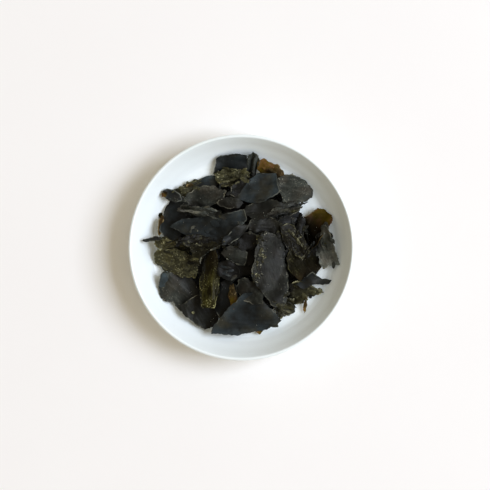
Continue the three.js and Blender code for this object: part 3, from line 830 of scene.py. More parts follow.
def torn(outline, depth, random):
    """An outline broken into short uneven steps, as a brittle leaf tears."""
    while True:
        following = np.roll(outline, -1, axis=0)
        edge = following - outline
        length = np.linalg.norm(edge, axis=1)
        if length.max() <= TEAR_STEP:
            return outline
        shift = random.uniform(-1, 1, len(outline)) * depth / length ** TEAR_FALLOFF
        middle = (outline + following) / 2 + np.column_stack([-edge[:, 1], edge[:, 0]]) * shift[:, None]
        outline = np.vstack([
            (corner, halfway) if long else (corner,)
            for corner, halfway, long in zip(outline, middle, length > TEAR_STEP)
        ])


def rim_distance(points, outline):
    """Distance from each point to a closed outline."""
    nearest = np.full(len(points), np.inf)
    for a, b in zip(outline, np.roll(outline, -1, axis=0)):
        share = np.clip((points - a) @ (b - a) / ((b - a) @ (b - a)), 0, 1)
        nearest = np.minimum(nearest, np.linalg.norm(points - a - share[:, None] * (b - a), axis=1))
    return nearest


def flat_mesh(outline, spacing, random):
    """Points and triangles of an even mesh inside an outline, all turned the same way."""
    low, high = outline.min(axis=0), outline.max(axis=0)
    rows = np.arange(low[1], high[1], spacing * math.sqrt(0.75))
    columns = np.arange(low[0], high[0], spacing)
    x, y = np.meshgrid(columns, rows)
    x = x + np.where(np.arange(len(rows)) % 2, spacing / 2, 0)[:, None]
    grid = np.column_stack([x.ravel(), y.ravel()])
    grid = grid + random.uniform(-MESH_JITTER, MESH_JITTER, grid.shape) * spacing
    grid = grid[lies_inside(grid, outline)]
    grid = grid[rim_distance(grid, outline) > spacing * MESH_MARGIN]
    corners = [Vector(p) for p in np.vstack([outline, grid])]
    border = list(range(len(outline)))
    points, _, triangles, *_ = delaunay_2d_cdt(corners, [], [border], TRIANGLES_INSIDE, MESH_MERGE)
    points, triangles = np.array([tuple(p) for p in points]), np.array(triangles)
    (ax, ay), (bx, by), (cx, cy) = points[triangles].transpose(1, 2, 0)
    turned = (bx - ax) * (cy - ay) < (by - ay) * (cx - ax)
    triangles[turned] = triangles[turned][:, ::-1]
    return points, triangles


def leaf_solid(flake, tear_depth):
    """A flake as a thin closed solid, both faces split alike, with what its wrinkles and colours follow."""
    random = np.random.default_rng(flake.seed)
    outline = torn(flake.rim, tear_depth, random)
    points, triangles = flat_mesh(outline, MESH_SPACING, random)
    rim = rim_distance(points, outline)
    body = 1 - np.exp(-rim / EDGE_TAPER)
    half = (LEAF_EDGE_THICKNESS + (LEAF_MIDDLE_THICKNESS - LEAF_EDGE_THICKNESS) * body) / 2
    height = flake.surface(points) + flake.bends(points) - flake.sink
    if flake.bed:
        height += np.clip(flake.bed(points) + half - height, -DRAPE, DRAPE)
    height = np.maximum(height, inside_height(np.hypot(*points.T)) + DISH_GAP + half)
    # Painted shade and light: a flake is darkened where it lies below the mean top of the heap around it
    # and lightened where it rises above it, through its shade and glow.
    depth = np.clip(pile.depth_at(points, height), -HIGHEST_CREST, DEEPEST_HOLLOW)
    painted_light_factor = np.exp(-depth / HOLLOW_FADE)
    middle = np.column_stack([points, height])
    a, b, c = middle[triangles].transpose(1, 0, 2)
    normal = np.zeros_like(middle)
    for k in range(3):
        np.add.at(normal, triangles[:, k], np.cross(b - a, c - a))
    normal /= np.linalg.norm(normal, axis=1)[:, None]
    count = len(points)
    edges = np.vstack([triangles[:, [0, 1]], triangles[:, [1, 2]], triangles[:, [2, 0]]])
    known = {tuple(edge) for edge in edges}
    border = [(i, j) for i, j in known if (j, i) not in known]
    sides = [(j, i, i + count) for i, j in border] + [(j, i + count, j + count) for i, j in border]
    grain = np.column_stack([flake.in_grain(points), np.full(count, PATTERN_STEP * flake.seed)])
    return {
        "place": np.vstack([middle + normal * half[:, None], middle - normal * half[:, None]]),
        "faces": np.vstack([triangles, triangles[:, ::-1] + count, np.array(sides)]),
        "lift": np.tile(normal, (2, 1)),
        "grain": np.tile(grain, (2, 1)),
        "rim": np.tile(rim + flake.dull_rim, 2),
        "tip": np.tile(grain[:, 0] / flake.half_length + flake.tip, 2),
        "glow": np.tile(flake.glow * painted_light_factor, 2),
        "shade": np.tile(flake.shade * painted_light_factor, 2),
        "crumbly": np.full(2 * count, flake.crumbly),
        "specks": np.full(2 * count, flake.specks),
        "edge": np.full(2 * count, flake.edge),
    }


def joined_mesh(name, solids):
    """One mesh of many solids, with their attributes."""
    starts = np.cumsum([0] + [len(s["place"]) for s in solids[:-1]])
    faces = np.vstack([s["faces"] + start for s, start in zip(solids, starts)])
    mesh = bpy.data.meshes.new(name)
    mesh.from_pydata(np.vstack([s["place"] for s in solids]) * MM, [], faces.tolist())
    for key in ("lift", "grain"):
        values = np.concatenate([s[key] for s in solids])
        mesh.attributes.new(key, "FLOAT_VECTOR", "POINT").data.foreach_set("vector", values.ravel())
    for key in ("rim", "tip", "glow", "shade", "crumbly", "specks", "edge"):
        values = np.concatenate([s[key] for s in solids])
        mesh.attributes.new(key, "FLOAT", "POINT").data.foreach_set("value", values)
    return mesh


# How each kind dried, and how deep its rim tore.
DRYING_SIZES = (
    "Wrinkle Height", "Wrinkle Spacing", "Buckle Height", "Buckle Size", "Lump Height", "Lump Size",
    "Curl Height", "Curl Length", "Crease Height", "Crease Spacing",
)
DRYING = {
    "blade": (0.07, 2.0, 0.55, 8.0, 0.04, 1.2, 1.2, 6.0, 0.5, 6.0),
    "grey": (0.12, 1.4, 0.55, 7.0, 0.1, 1.0, 1.2, 5.0, 0.6, 4.0),
    "olive": (0.3, 1.0, 0.5, 5.0, 0.3, 1.2, 1.0, 3.5, 0.7, 2.0),
    "amber": (0.08, 1.5, 0.4, 6.0, 0.06, 1.3, 1.0, 4.0, 0.4, 5.0),
    "rib": (0.5, 1.6, 0.3, 7.0, 0.15, 0.7, 0.3, 4.0, 0.8, 2.0),
}
TEAR_DEPTH = {"blade": 0.12, "grey": 0.2, "olive": 0.3, "amber": 0.18, "rib": 0.1}
WRINKLE_STRETCH = 5
CREASE_WIDTH = 0.1
CURL_MIDDLE = 0.42
CURL_FADE = 0.6
SHARP_EDGE_RAD = 0.9


def drying_tree():
    """Geometry Nodes that dry a sheet: wrinkles along its grain, buckles, crumbled lumps and a curled rim."""
    tree, given = start_tree("dry_out", {"Leaf": "Geometry", **dict.fromkeys(DRYING_SIZES, "Float")}, "Dried")
    fine = add_node(tree, "GeometryNodeSubdivideMesh", {"Mesh": given["Leaf"], "Level": 1})
    grain, lift, rim, crumbly = (
        add_node(tree, "GeometryNodeInputNamedAttribute", {"Name": name}, data_type=kind)
        for name, kind in (
            ("grain", "FLOAT_VECTOR"), ("lift", "FLOAT_VECTOR"), ("rim", "FLOAT"), ("crumbly", "FLOAT"),
        )
    )
    drawn_out = (grain, (1 / WRINKLE_STRETCH, 1.0, 1.0))
    fibres = add_node(tree, "ShaderNodeVectorMath", drawn_out, operation="MULTIPLY")

    def bumps(vector, size, height, detail=1.0, middle=0.5, creased=False):
        """Noise of a named size and height, folded over at its middle height if creased."""
        pitch = add_node(tree, "ShaderNodeMath", (1.0, given[size]), operation="DIVIDE")
        noise = add_node(tree, "ShaderNodeTexNoise", {"Vector": vector, "Scale": pitch, "Detail": detail})
        swing = add_node(tree, "ShaderNodeMath", (noise, middle), operation="SUBTRACT")
        if creased:
            swing = add_node(tree, "ShaderNodeMath", (swing,), operation="ABSOLUTE")
            swing = add_node(tree, "ShaderNodeMath", (CREASE_WIDTH, swing), operation="SUBTRACT")
        double = add_node(tree, "ShaderNodeMath", (swing, 2.0), operation="MULTIPLY")
        return add_node(tree, "ShaderNodeMath", (double, given[height]), operation="MULTIPLY")

    wrinkles = bumps(fibres, "Wrinkle Spacing", "Wrinkle Height", detail=3.0)
    lumps = bumps(grain, "Lump Size", "Lump Height", detail=4.0)
    lumps = add_node(tree, "ShaderNodeMath", (lumps, crumbly), operation="MULTIPLY")
    creases = bumps(fibres, "Crease Spacing", "Crease Height", creased=True)
    creases = add_node(tree, "ShaderNodeMath", (creases, crumbly), operation="MULTIPLY")
    buckles = bumps(grain, "Buckle Size", "Buckle Height")
    inward = add_node(tree, "ShaderNodeMath", (rim, -CURL_FADE), operation="MULTIPLY")
    nearness = add_node(tree, "ShaderNodeMath", (inward,), operation="EXPONENT")
    curl = bumps(grain, "Curl Length", "Curl Height", middle=CURL_MIDDLE)
    curl = add_node(tree, "ShaderNodeMath", (curl, nearness), operation="MULTIPLY")
    fine_relief = add_node(tree, "ShaderNodeMath", (wrinkles, lumps), operation="ADD")
    coarse_relief = add_node(tree, "ShaderNodeMath", (buckles, curl), operation="ADD")
    coarse_relief = add_node(tree, "ShaderNodeMath", (coarse_relief, creases), operation="ADD")
    relief = add_node(tree, "ShaderNodeMath", (fine_relief, coarse_relief), operation="ADD")
    metres = add_node(tree, "ShaderNodeMath", (relief, MM), operation="MULTIPLY")
    shift = add_node(tree, "ShaderNodeVectorMath", {"Vector": lift, "Scale": metres}, operation="SCALE")
    bent = add_node(tree, "GeometryNodeSetPosition", {"Geometry": fine, "Offset": shift})
    crest = {"Geometry": bent, "Name": "crest", "Value": fine_relief}
    marked = add_node(tree, "GeometryNodeStoreNamedAttribute", crest, data_type="FLOAT", domain="POINT")
    smooth = add_node(tree, "GeometryNodeSetShadeSmooth", {"Geometry": marked})
    angle = add_node(tree, "GeometryNodeInputMeshEdgeAngle").outputs["Unsigned Angle"]
    blunt = add_node(tree, "ShaderNodeMath", (angle, SHARP_EDGE_RAD), operation="LESS_THAN")
    sharp = {"Geometry": smooth, "Shade Smooth": blunt}
    edged = add_node(tree, "GeometryNodeSetShadeSmooth", sharp, domain="EDGE")
    return end_tree(tree, edged, given)


# Patterns on a dried leaf. Spots show where noise rises from low to high, and the others fade in over a range
# of heights, of distances from the rim, of the way to the tip or of how open to the sky the flake lies there,
# which paints light on the rim.
PATCH_SIZE = 5.0
STREAK_WIDTH = 0.7
STREAK_STRETCH = 4
STREAK_DEPTH = 0.15
GLOSS_SPREAD = 0.12
DARKEST_PAINTED_FLANK_SHADE = 0.25
MOTTLING = {"From Min": 0.35, "From Max": 0.7}
RIDGE_DUST_AND_HIGHLIGHT = {"From Min": 0.0, "From Max": 0.3}
THIN_RIM = {"From Min": 0.45, "From Max": 0.12}
CRUMBLED_MARGIN = {"From Min": 4.0, "From Max": 0.0, "To Min": 0.15}
CRUMB_GROUPS = {"From Min": 0.42, "From Max": 0.58, "To Max": 1.5}
COLOURED_END = {"From Min": 0.0, "From Max": 0.8, "To Max": 0.9}
LIT_RIM = {"From Min": 0.2, "From Max": 1.0}
STAINS = dict(size=8.0, detail=3.0, low=0.48, high=0.66, most=0.6)
BREAKS = dict(size=6.0, detail=4.0, low=0.52, high=0.64, most=0.85)
CRUMBS = dict(size=0.6, detail=1.0, low=0.6, high=0.75)
BLUSH = dict(size=3.5, detail=3.0, low=0.45, high=0.65)


def dried_leaf(name, colours, roughness, sheen=0.22, tint="#fffaf0", ends=(), painted_flank_shade=0):
    """Dried seaweed: leathery, almost black, with a dull sheen; paler on ridges and where its thin rim broke.

    The colours are those of its hollows, its body, stains, the dust on its ridges and the pale rim; the
    paleness of ridges and rim is partly a painted highlight where they catch the light. ends are the two of a
    coloured end. painted_flank_shade is how far in from the rim, in millimetres, a rolled leaf's sides are
    painted darker as shade.
    """
    material = bare_material(name)
    tree = material.node_tree
    hollow, body, stain, ridge_dust_and_highlight, pale_rim_highlight_colour = map(linear, colours)
    # of the heap's hollows and crests.
    # shade and glow carry each flake's tone and end brightness together with the painted shade and light
    grain = add_node(tree, "ShaderNodeAttribute", attribute_name="grain").outputs["Vector"]
    rim, crest, shade, edge, specks, glow = (
        add_node(tree, "ShaderNodeAttribute", attribute_name=attribute).outputs["Fac"]
        for attribute in ("rim", "crest", "shade", "edge", "specks", "glow")
    )

    def spots(size, detail, low, high, most=1.0):
        """How far noise of a given size has risen from its low to its high level, up to the most."""
        noise = add_node(tree, "ShaderNodeTexNoise", {"Vector": grain, "Scale": 1 / size, "Detail": detail})
        levels = {"Value": noise, "From Min": low, "From Max": high, "To Max": most}
        return add_node(tree, "ShaderNodeMapRange", levels)

    patches = add_node(tree, "ShaderNodeTexNoise", {"Vector": grain, "Scale": 1 / PATCH_SIZE, "Detail": 3.0})
    mottle = add_node(tree, "ShaderNodeMapRange", {"Value": patches, **MOTTLING})
    colour = add_node(tree, "ShaderNodeMix", {"Factor": mottle, "A": hollow, "B": body}, data_type="RGBA")
    stained = {"Factor": spots(**STAINS), "A": colour, "B": stain}
    colour = add_node(tree, "ShaderNodeMix", stained, data_type="RGBA")
    drawn_out = (grain, (1 / STREAK_STRETCH, 1.0, 1.0))
    fibres = add_node(tree, "ShaderNodeVectorMath", drawn_out, operation="MULTIPLY")
    streaks = {"Vector": fibres, "Scale": 1 / STREAK_WIDTH, "Detail": 4.0}
    streaks = add_node(tree, "ShaderNodeTexNoise", streaks)
    # The raised ridges are paler with dust, and partly as a painted highlight where they catch the light.
    raised = add_node(tree, "ShaderNodeMapRange", {"Value": crest, **RIDGE_DUST_AND_HIGHLIGHT})
    dust = add_node(tree, "ShaderNodeMath", (raised, streaks), operation="MULTIPLY")
    colour = add_node(tree, "ShaderNodeMix", {"Factor": dust, "A": colour, "B": ridge_dust_and_highlight}, data_type="RGBA")
    # Painted shade: a rolled leaf's sides are darkened towards its rim, as the shade on them.
    if painted_flank_shade:
        side = {"Value": rim, "From Max": painted_flank_shade, "To Min": DARKEST_PAINTED_FLANK_SHADE}
        side = add_node(tree, "ShaderNodeMapRange", side)
        shade = add_node(tree, "ShaderNodeMath", (shade, side), operation="MULTIPLY")
    colour = add_node(tree, "ShaderNodeVectorMath", {"Vector": colour, "Scale": shade}, operation="SCALE")

    # The thin rim is pale where it broke, and partly as a painted highlight where it catches the light;
    # crumbs along the margin add to it.
    broken = add_node(tree, "ShaderNodeMapRange", {"Value": rim, **THIN_RIM})
    for share in (spots(**BREAKS), edge):
        broken = add_node(tree, "ShaderNodeMath", (broken, share), operation="MULTIPLY")
    crumbs = add_node(tree, "ShaderNodeMapRange", {"Value": rim, **CRUMBLED_MARGIN})
    groups = add_node(tree, "ShaderNodeMapRange", {"Value": patches, **CRUMB_GROUPS})
    for share in (specks, groups, spots(**CRUMBS)):
        crumbs = add_node(tree, "ShaderNodeMath", (crumbs, share), operation="MULTIPLY")
    pale = add_node(tree, "ShaderNodeMath", (broken, crumbs), operation="MAXIMUM", use_clamp=True)
    # The coloured end: on amber leaves their own amber, made brighter by glow as painted light through the
    # thin end; on the rolled midrib a dark brown end that also paints the shadow over the top of the roll.
    if ends:
        tip = add_node(tree, "ShaderNodeAttribute", attribute_name="tip").outputs["Fac"]
        reach = {"Value": tip, **COLOURED_END}
        reach = add_node(tree, "ShaderNodeMapRange", reach, interpolation_type="SMOOTHSTEP")
        blush = {"Factor": spots(**BLUSH), "A": linear(ends[0]), "B": linear(ends[1])}
        blush = add_node(tree, "ShaderNodeMix", blush, data_type="RGBA")
        blush = add_node(tree, "ShaderNodeVectorMath", {"Vector": blush, "Scale": glow}, operation="SCALE")
        colour = add_node(tree, "ShaderNodeMix", {"Factor": reach, "A": colour, "B": blush}, data_type="RGBA")
        rest = add_node(tree, "ShaderNodeMath", (1.0, reach), operation="SUBTRACT")
        pale = add_node(tree, "ShaderNodeMath", (pale, rest), operation="MULTIPLY")
    # Painted light: the pale rim is lit as far as glow says the flake lies open to the sky.
    open_to_sky = add_node(tree, "ShaderNodeMapRange", {"Value": glow, **LIT_RIM})
    lit_rim = {"Vector": pale_rim_highlight_colour[:3], "Scale": open_to_sky}
    lit_rim = add_node(tree, "ShaderNodeVectorMath", lit_rim, operation="SCALE")
    colour = add_node(tree, "ShaderNodeMix", {"Factor": pale, "A": colour, "B": lit_rim}, data_type="RGBA")

    gloss = {"Value": patches, "To Min": roughness - GLOSS_SPREAD, "To Max": roughness + GLOSS_SPREAD}
    gloss = add_node(tree, "ShaderNodeMapRange", gloss)
    uneven = {"Height": streaks, "Strength": 0.6, "Distance": STREAK_DEPTH * MM}
    bump = add_node(tree, "ShaderNodeBump", uneven)
    finish = {"Base Color": colour, "Roughness": gloss, "Normal": bump, "IOR": 1.4}
    finish |= {"Specular IOR Level": sheen, "Specular Tint": linear(tint)}
    leaf = add_node(tree, "ShaderNodeBsdfPrincipled", finish)
    add_node(tree, "ShaderNodeOutputMaterial", {"Surface": leaf})
    return material


FINISHES = {
    "blade": dried_leaf("dried_wakame_blade", ("#080a0a", "#14191b", "#19170f", "#373b39", "#72746a"), 0.45),
    "grey": dried_leaf("dried_wakame_frill", ("#0a0b09", "#191b18", "#1b1813", "#4a4c45", "#7c7a6a"), 0.5),
    "olive": dried_leaf("dried_wakame_frond", ("#0c0c06", "#232215", "#272410", "#5d5a40", "#9a9774"), 0.5),
    "amber": dried_leaf(
        "dried_wakame_tip", ("#0a0703", "#171007", "#1c170a", "#4e4124", "#8c7a54"), 0.5,
        sheen=0.08, tint="#ffe6b0", ends=("#4f400e", "#6c4a32"),
    ),
    "rib": dried_leaf(
        "dried_wakame_midrib", ("#0b0a03", "#2a280e", "#2b2209", "#6f6a32", "#b5b07a"), 0.4,
        sheen=0.16, tint="#fff2c8", ends=("#0f0a04", "#140d05"), painted_flank_shade=1.4,
    ),
}

pile = Pile()
flake_rows = [*fill_rows(), *SHOWN_FLAKES.values()]
flakes = [Flake(SEED_STEP * (i + 1), **row) for i, row in enumerate(flake_rows)]
for flake in flakes:
    flake.settle(pile)

dry_out = drying_tree()


def leaf_piece(name, kind, leaves, warp=1):
    """Leaves of one kind as one finished piece of the heap; warp scales how far they buckle and curl."""
    solids = [leaf_solid(flake, TEAR_DEPTH[kind]) for flake in leaves if flake.kind == kind]
    piece = put_in_scene(name, joined_mesh(name, solids))
    drying = dict(zip(DRYING_SIZES, DRYING[kind]))
    for size in ("Buckle Height", "Curl Height"):
        drying[size] *= warp
    apply_tree(piece, dry_out, {**drying, "Material": FINISHES[kind]})
    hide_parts("wakame_heap")
    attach(piece, "root")
    return piece


leaves = [leaf_piece(f"wakame_{kind}", kind, flakes) for kind in FINISHES]

# Scraps
# Bits that broke off the flakes, a few millimetres long. Some lie on the flake that crumbled, others slid
# into the hollows between flakes.
SCRAP_LENGTH = (1.6, 4.6)
SCRAP_SLENDERNESS = (0.25, 0.6)
SCRAP_SWING_DEG = 50
SLIVER_LENGTH = (6, 12)
SLIVER_SLENDERNESS = (0.1, 0.18)
SLIVER_SWING_DEG = 14
SLIVER_SPREAD = 0.6
SCRAP_LOOK = dict(crumbly=0.5, dull_rim=0.35)
SCRAP_GAPS = (2, 1.2, 0.8)
SCRAP_REST = 0.7
PLANE_POINTS = 3
SCRAP_WARP = 0.5
SCRAP_SEED = 5000
LITTER_SHADES = (0.8, 1.5)
BRIGHTEST_LITTER = 2.4
HOLLOW_SCRAPS = 70
HOLLOW_DEPTH = 0.7
HOLLOW_SHIFT = 0.5
# Scraps in the hollows are kept dark, as painted shade there.
HOLLOW_SHADES = (0.2, 0.6)
CRUST = ((8, 5.6), (4.6, -13.5))
CRUST_WIDTH = 3
CRUST_TURN_DEG = -80
CRUST_SCRAPS = 22
CRUST_SHADES = (0.8, 1.6)
CRUST_SPECKS = 2

# The scraps that can be told apart, given as the flakes are.
SHOWN_SCRAPS = [
    grey(at=(29.1, -20.6), size=(1.7, 1.5), turn=20, shade=0.5),
    rib(at=(35.4, 1.8), size=(2.4, 1.6), turn=10, shade=3),
    amber(at=(-32.5, 22.5), size=(3.2, 2.2), turn=230, tip=0.4, glow=0.6),
    amber(at=(-21.8, 26.2), size=(3.4, 1.8), turn=15, shade=3, tip=-0.6),
    rib(at=(-19.6, 28), size=(2.8, 1.5), turn=20, shade=2.5),
    rib(at=(-34.2, 13.6), size=(2.6, 1.6), turn=70, shade=1.6),
    olive(at=(-20.4, -27.3), size=(1.5, 1.1), turn=0, shade=8),
    # A paler blue-grey scrap over the end of the lower left flake, its paleness partly a painted sheen.
    blade(
        turn=60, shade=6, dull_rim=0.3,
        corners=[
            (-34.7, -16.4), (-33.4, -10.7), (-30.2, -10.8),
            (-30.9, -13.6), (-32.2, -15.2), (-31.6, -18.2),
        ],
    ),
    grey(at=(-20.4, 8.3), size=(2.4, 1.3), turn=30, shade=4, specks=2),
    grey(at=(-18.9, 7.2), size=(2.0, 1.2), turn=-50, shade=4, specks=2),
    grey(at=(-21.3, 6.7), size=(1.8, 1.0), turn=80, shade=4, specks=2),
    grey(at=(-17.5, 14.8), size=(17, 1.1), turn=-5, shade=4.5, dull_rim=0.2),
    grey(at=(-19, 16.2), size=(12, 0.9), turn=8, shade=4.5, dull_rim=0.2),
    grey(at=(-22.6, 15.4), size=(7, 0.8), turn=-30, shade=4.5, dull_rim=0.15),
    grey(at=(-25.6, 16.8), size=(4.4, 0.8), turn=50, shade=4.5, edge=1.4),
    grey(at=(-11.6, 12.6), size=(6.5, 0.8), turn=-20, shade=4.5, dull_rim=0.2),
    blade(at=(-6.6, -8.2), size=(5.2, 1.3), turn=-12, shade=2.4, dull_rim=0.3),
    blade(at=(-5.2, -9.8), size=(5.8, 1.2), turn=8, shade=3, dull_rim=0.3),
    blade(at=(-6.8, -11.2), size=(4.6, 1.1), turn=-20, shade=2, dull_rim=0.3),
    grey(at=(-3.2, -12.6), size=(3.6, 1.6), turn=35, shade=3, dull_rim=0.3),
    # Pale slivers on the lower edge of the centre chip, partly a painted highlight where it catches the light.
    grey(at=(-4.7, -5.5), size=(4.8, 0.7), turn=-32, shade=5, edge=1.8),
    grey(at=(-0.6, -7.1), size=(4.4, 0.6), turn=-10, shade=5, edge=1.8),
    # A near-black scrap where the amber leaf casts its shadow: painted shadow.
    grey(
        turn=50, shade=0.05, edge=0.05,
        corners=[(31, 4.4), (33.2, 6.4), (35, 4.2), (34.4, 1.4), (32.4, 0.2)],
    ),
    grey(
        turn=-75, shade=4.5, crumbly=0.6, dull_rim=0.1,
        corners=[
            (33.7, 9.4), (35.4, 9.6), (36.8, 7.2), (37.9, 3),
            (38.4, -0.6), (36.4, -1.4), (33.9, 0.6), (33.3, 4.6),
        ],
    ),
    olive(at=(-15, -0.5), size=(12, 0.9), turn=4, shade=0.7, dull_rim=0.2),
    olive(at=(-19, 1.9), size=(14, 1.0), turn=3, shade=0.8, dull_rim=0.2),
    olive(at=(-30.4, 2.4), size=(8, 2.2), turn=-14, shade=4.5, specks=3, dull_rim=0.2),
    olive(at=(-26, 0.4), size=(9, 1.9), turn=-6, shade=4.5, specks=3, dull_rim=0.2),
    grey(at=(21.5, 17.4), size=(13.5, 1.2), turn=16, shade=2.2, dull_rim=0.3),
    olive(at=(20.5, 15.2), size=(12, 1.0), turn=20, shade=1.2, dull_rim=0.3),
    grey(at=(20.2, 18.9), size=(9.5, 0.9), turn=12, shade=1.4, dull_rim=0.3),
    olive(at=(22, 4.4), size=(18, 0.5), turn=-45, shade=1.3, dull_rim=0.3),
    olive(at=(23.4, 3.6), size=(13, 0.5), turn=-50, shade=1.5, dull_rim=0.3),
    # Pale slivers along the edges of the right leaf and of the olive arc, partly painted highlights where
    # those thin edges catch the light.
    grey(at=(27.8, 5.6), size=(14.8, 0.7), turn=-77, shade=3, edge=1.4, dull_rim=0.1),
    grey(at=(26.9, -2.6), size=(7, 0.6), turn=62, shade=3, edge=1.4, dull_rim=0.1),
    grey(at=(-17.1, -5.2), size=(3.2, 0.6), turn=70, shade=3, edge=1.6),
    grey(at=(-14.8, -2.5), size=(5, 0.6), turn=38, shade=3, edge=1.6),
    grey(at=(-10.5, 0.1), size=(5.6, 0.6), turn=26, shade=3, edge=1.6),
    # A dark scrap in the slot between the right leaves, dark as painted shade there.
    blade(
        turn=-75, shade=0.3, edge=0.2,
        corners=[(29, 1.4), (30.4, 3), (31.9, 1.6), (31.9, -1.6), (30.8, -3.6), (29.4, -1.8)],
    ),
]


def scrap_row(at, kind, turn, random, shade, sliver=False):
    """A scrap, or a sliver that split off along the grain."""
    length = random.uniform(*(SLIVER_LENGTH if sliver else SCRAP_LENGTH))
    size = (length, length * random.uniform(*(SLIVER_SLENDERNESS if sliver else SCRAP_SLENDERNESS)))
    swing = random.uniform(-1, 1) * (SLIVER_SWING_DEG if sliver else SCRAP_SWING_DEG)
    return dict(kind=kind, at=at, size=size, turn=turn + swing, shade=shade, **SCRAP_LOOK)


def litter_rows(random):
    """Scraps and slivers on the flakes that crumbled, along their grain."""
    for flake in flakes:
        low, high = flake.rim.min(axis=0), flake.rim.max(axis=0)
        found = 0
        while found < flake.litter + flake.slivers:
            at = random.uniform(low, high)
            if lies_inside(at[None], flake.rim)[0]:
                shade = min(flake.shade, BRIGHTEST_LITTER) * random.uniform(*LITTER_SHADES)
                sliver = found < flake.slivers
                if sliver:
                    at = flake.middle + SLIVER_SPREAD * (at - flake.middle)
                yield scrap_row(at, flake.kind, math.degrees(flake.turn), random, shade, sliver)
                found += 1


def hollow_rows(random):
    """Scraps in the hollows of the finished pile, kept dark as painted shade there."""
    near = np.hypot(*pile.cells.T) < CORE_RADIUS
    hollows = pile.cells[near & (pile.depth_at(pile.cells, pile.tops) > HOLLOW_DEPTH)]
    for cell in random.choice(hollows, HOLLOW_SCRAPS):
        kind = random.choice(["grey", "blade", "olive"])
        at = cell + random.uniform(-HOLLOW_SHIFT, HOLLOW_SHIFT, 2)
        turn = random.uniform(0, 360)
        yield scrap_row(at, kind, turn, random, random.uniform(*HOLLOW_SHADES))


def crust_rows(random):
    """Crumbs on the rim of the long flake in front, where it broke up."""
    start, end = np.array(CRUST)
    for share in np.linspace(0, 1, CRUST_SCRAPS):
        at = start + share * (end - start) + (random.uniform(0, CRUST_WIDTH), 0)
        kind = random.choice(["grey", "grey", "olive"])
        row = scrap_row(at, kind, CRUST_TURN_DEG, random, random.uniform(*CRUST_SHADES))
        yield {**row, "specks": CRUST_SPECKS}


def merged_faces(pieces):
    """The faces of several finished pieces together."""
    faces = bmesh.new()
    for piece in pieces:
        faces.from_mesh(piece.data)
    return faces


def top_under(points):
    """Height of the finished heap or dish at points seen from above."""
    down = Vector((0, 0, -1))
    falls = [finished.ray_cast(Vector((x, y, cad_high.z / MM)) * MM, down)[0] for x, y in points]
    bare = inside_height(np.hypot(*points.T))
    return np.array([fall.z / MM if fall else floor for fall, floor in zip(falls, bare)])


def lay_flat(scrap):
    """Lays a scrap flat on whatever of the finished heap is under most of it."""
    points = scrap.feelers()
    under = np.column_stack([points - scrap.middle, np.ones(len(points))])
    heights = top_under(points)
    plane = np.array([0, 0, np.sort(heights)[len(heights) // 2]])
    for gap in SCRAP_GAPS:
        touching = np.abs(heights - under @ plane) < gap
        if touching.sum() > PLANE_POINTS:
            plane = np.linalg.lstsq(under[touching], heights[touching], rcond=None)[0]
    scrap.slope = np.clip(plane[:2], -STEEPEST_SLOPE, STEEPEST_SLOPE)
    rests = np.sort(heights - under[:, :2] @ scrap.slope)
    near = np.abs(rests - rests[len(rests) // 2]) < SCRAP_GAPS[0]
    scrap.height = np.quantile(rests[near], SCRAP_REST)
    scrap.bed = top_under


heap_faces = merged_faces([core, *leaves])
finished = BVHTree.FromBMesh(heap_faces)
heap_faces.free()
scrap_random = np.random.default_rng(SCRAP_SEED)
scrap_rows = [
    *litter_rows(scrap_random), *hollow_rows(scrap_random), *SHOWN_SCRAPS, *crust_rows(scrap_random),
]
scraps = [Flake(SCRAP_SEED + SEED_STEP * i, **row) for i, row in enumerate(scrap_rows)]
for scrap in scraps:
    lay_flat(scrap)
for kind in sorted({scrap.kind for scrap in scraps}):
    leaves.append(leaf_piece(f"scraps_{kind}", kind, scraps, SCRAP_WARP))

# Salt
# Grains of sea salt and broken leaf dust that dried onto the flakes and catch the light. They lie in patches
# on what looks up.
SALT_GRAINS_PER_M2 = 110000
SALT_SIZE = 0.22
SALT_LEAST_SIZE = 0.35
SALT_PATCH = 6
SALTED = {"From Min": 0.5, "From Max": 0.7}
SALT_SEED = 4
LEVEL_ENOUGH = 0.6


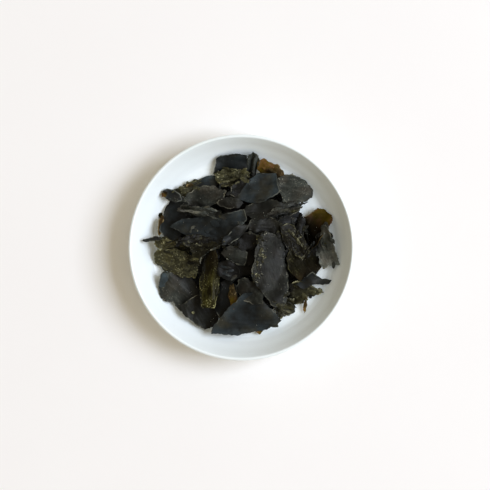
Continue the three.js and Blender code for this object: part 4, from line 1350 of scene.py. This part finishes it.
def salt_tree():
    """Geometry Nodes that strew small crystals over the faces that look up."""
    inputs = {"Surface": "Geometry", "Density": "Float", "Grain Size": "Float", "Seed": "Int"}
    tree, given = start_tree("strew_salt", inputs, "Grains")
    normal = add_node(tree, "GeometryNodeInputNormal")
    upward = add_node(tree, "ShaderNodeVectorMath", (normal, (0, 0, 1)), operation="DOT_PRODUCT")
    level = add_node(tree, "ShaderNodeMath", (upward, LEVEL_ENOUGH), operation="GREATER_THAN")
    place = add_node(tree, "GeometryNodeInputPosition")
    patches = {"Vector": place, "Scale": 1 / (SALT_PATCH * MM), "Detail": 2.0}
    patches = add_node(tree, "ShaderNodeTexNoise", patches)
    patches = add_node(tree, "ShaderNodeMapRange", {"Value": patches, **SALTED})
    salted = add_node(tree, "ShaderNodeMath", (level, patches), operation="MULTIPLY")
    density = add_node(tree, "ShaderNodeMath", (salted, given["Density"]), operation="MULTIPLY")
    strewn = {"Mesh": given["Surface"], "Density": density, "Seed": given["Seed"]}
    strewn = add_node(tree, "GeometryNodeDistributePointsOnFaces", strewn, distribute_method="RANDOM")
    crystal = add_node(tree, "GeometryNodeMeshIcoSphere", {"Radius": 0.5, "Subdivisions": 1})
    spread = {"Min": SALT_LEAST_SIZE, "Max": 1.0, "Seed": given["Seed"]}
    spread = add_node(tree, "FunctionNodeRandomValue", spread, data_type="FLOAT")
    size = add_node(tree, "ShaderNodeMath", (spread, given["Grain Size"]), operation="MULTIPLY")
    sown = {"Points": strewn, "Instance": crystal, "Scale": size}
    sown = add_node(tree, "GeometryNodeInstanceOnPoints", sown)
    return end_tree(tree, sown, given)


def sea_salt():
    """Fine sea salt mixed with leaf dust: dull, off-white grains."""
    material = bare_material("sea_salt")
    tree = material.node_tree
    salt = add_node(tree, "ShaderNodeBsdfPrincipled", {"Base Color": linear("#b9b6a2"), "Roughness": 0.5})
    add_node(tree, "ShaderNodeOutputMaterial", {"Surface": salt})
    return material


salted_mesh = bpy.data.meshes.new("salt_grains")
salted_faces = merged_faces(leaves)
salted_faces.to_mesh(salted_mesh)
salted_faces.free()
salt = put_in_scene("salt_grains", salted_mesh)
strewing = {"Density": SALT_GRAINS_PER_M2, "Grain Size": SALT_SIZE * MM, "Seed": SALT_SEED}
apply_tree(salt, salt_tree(), {**strewing, "Material": sea_salt()})
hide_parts("wakame_heap")
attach(salt, "root")

bpy.context.view_layer.update()
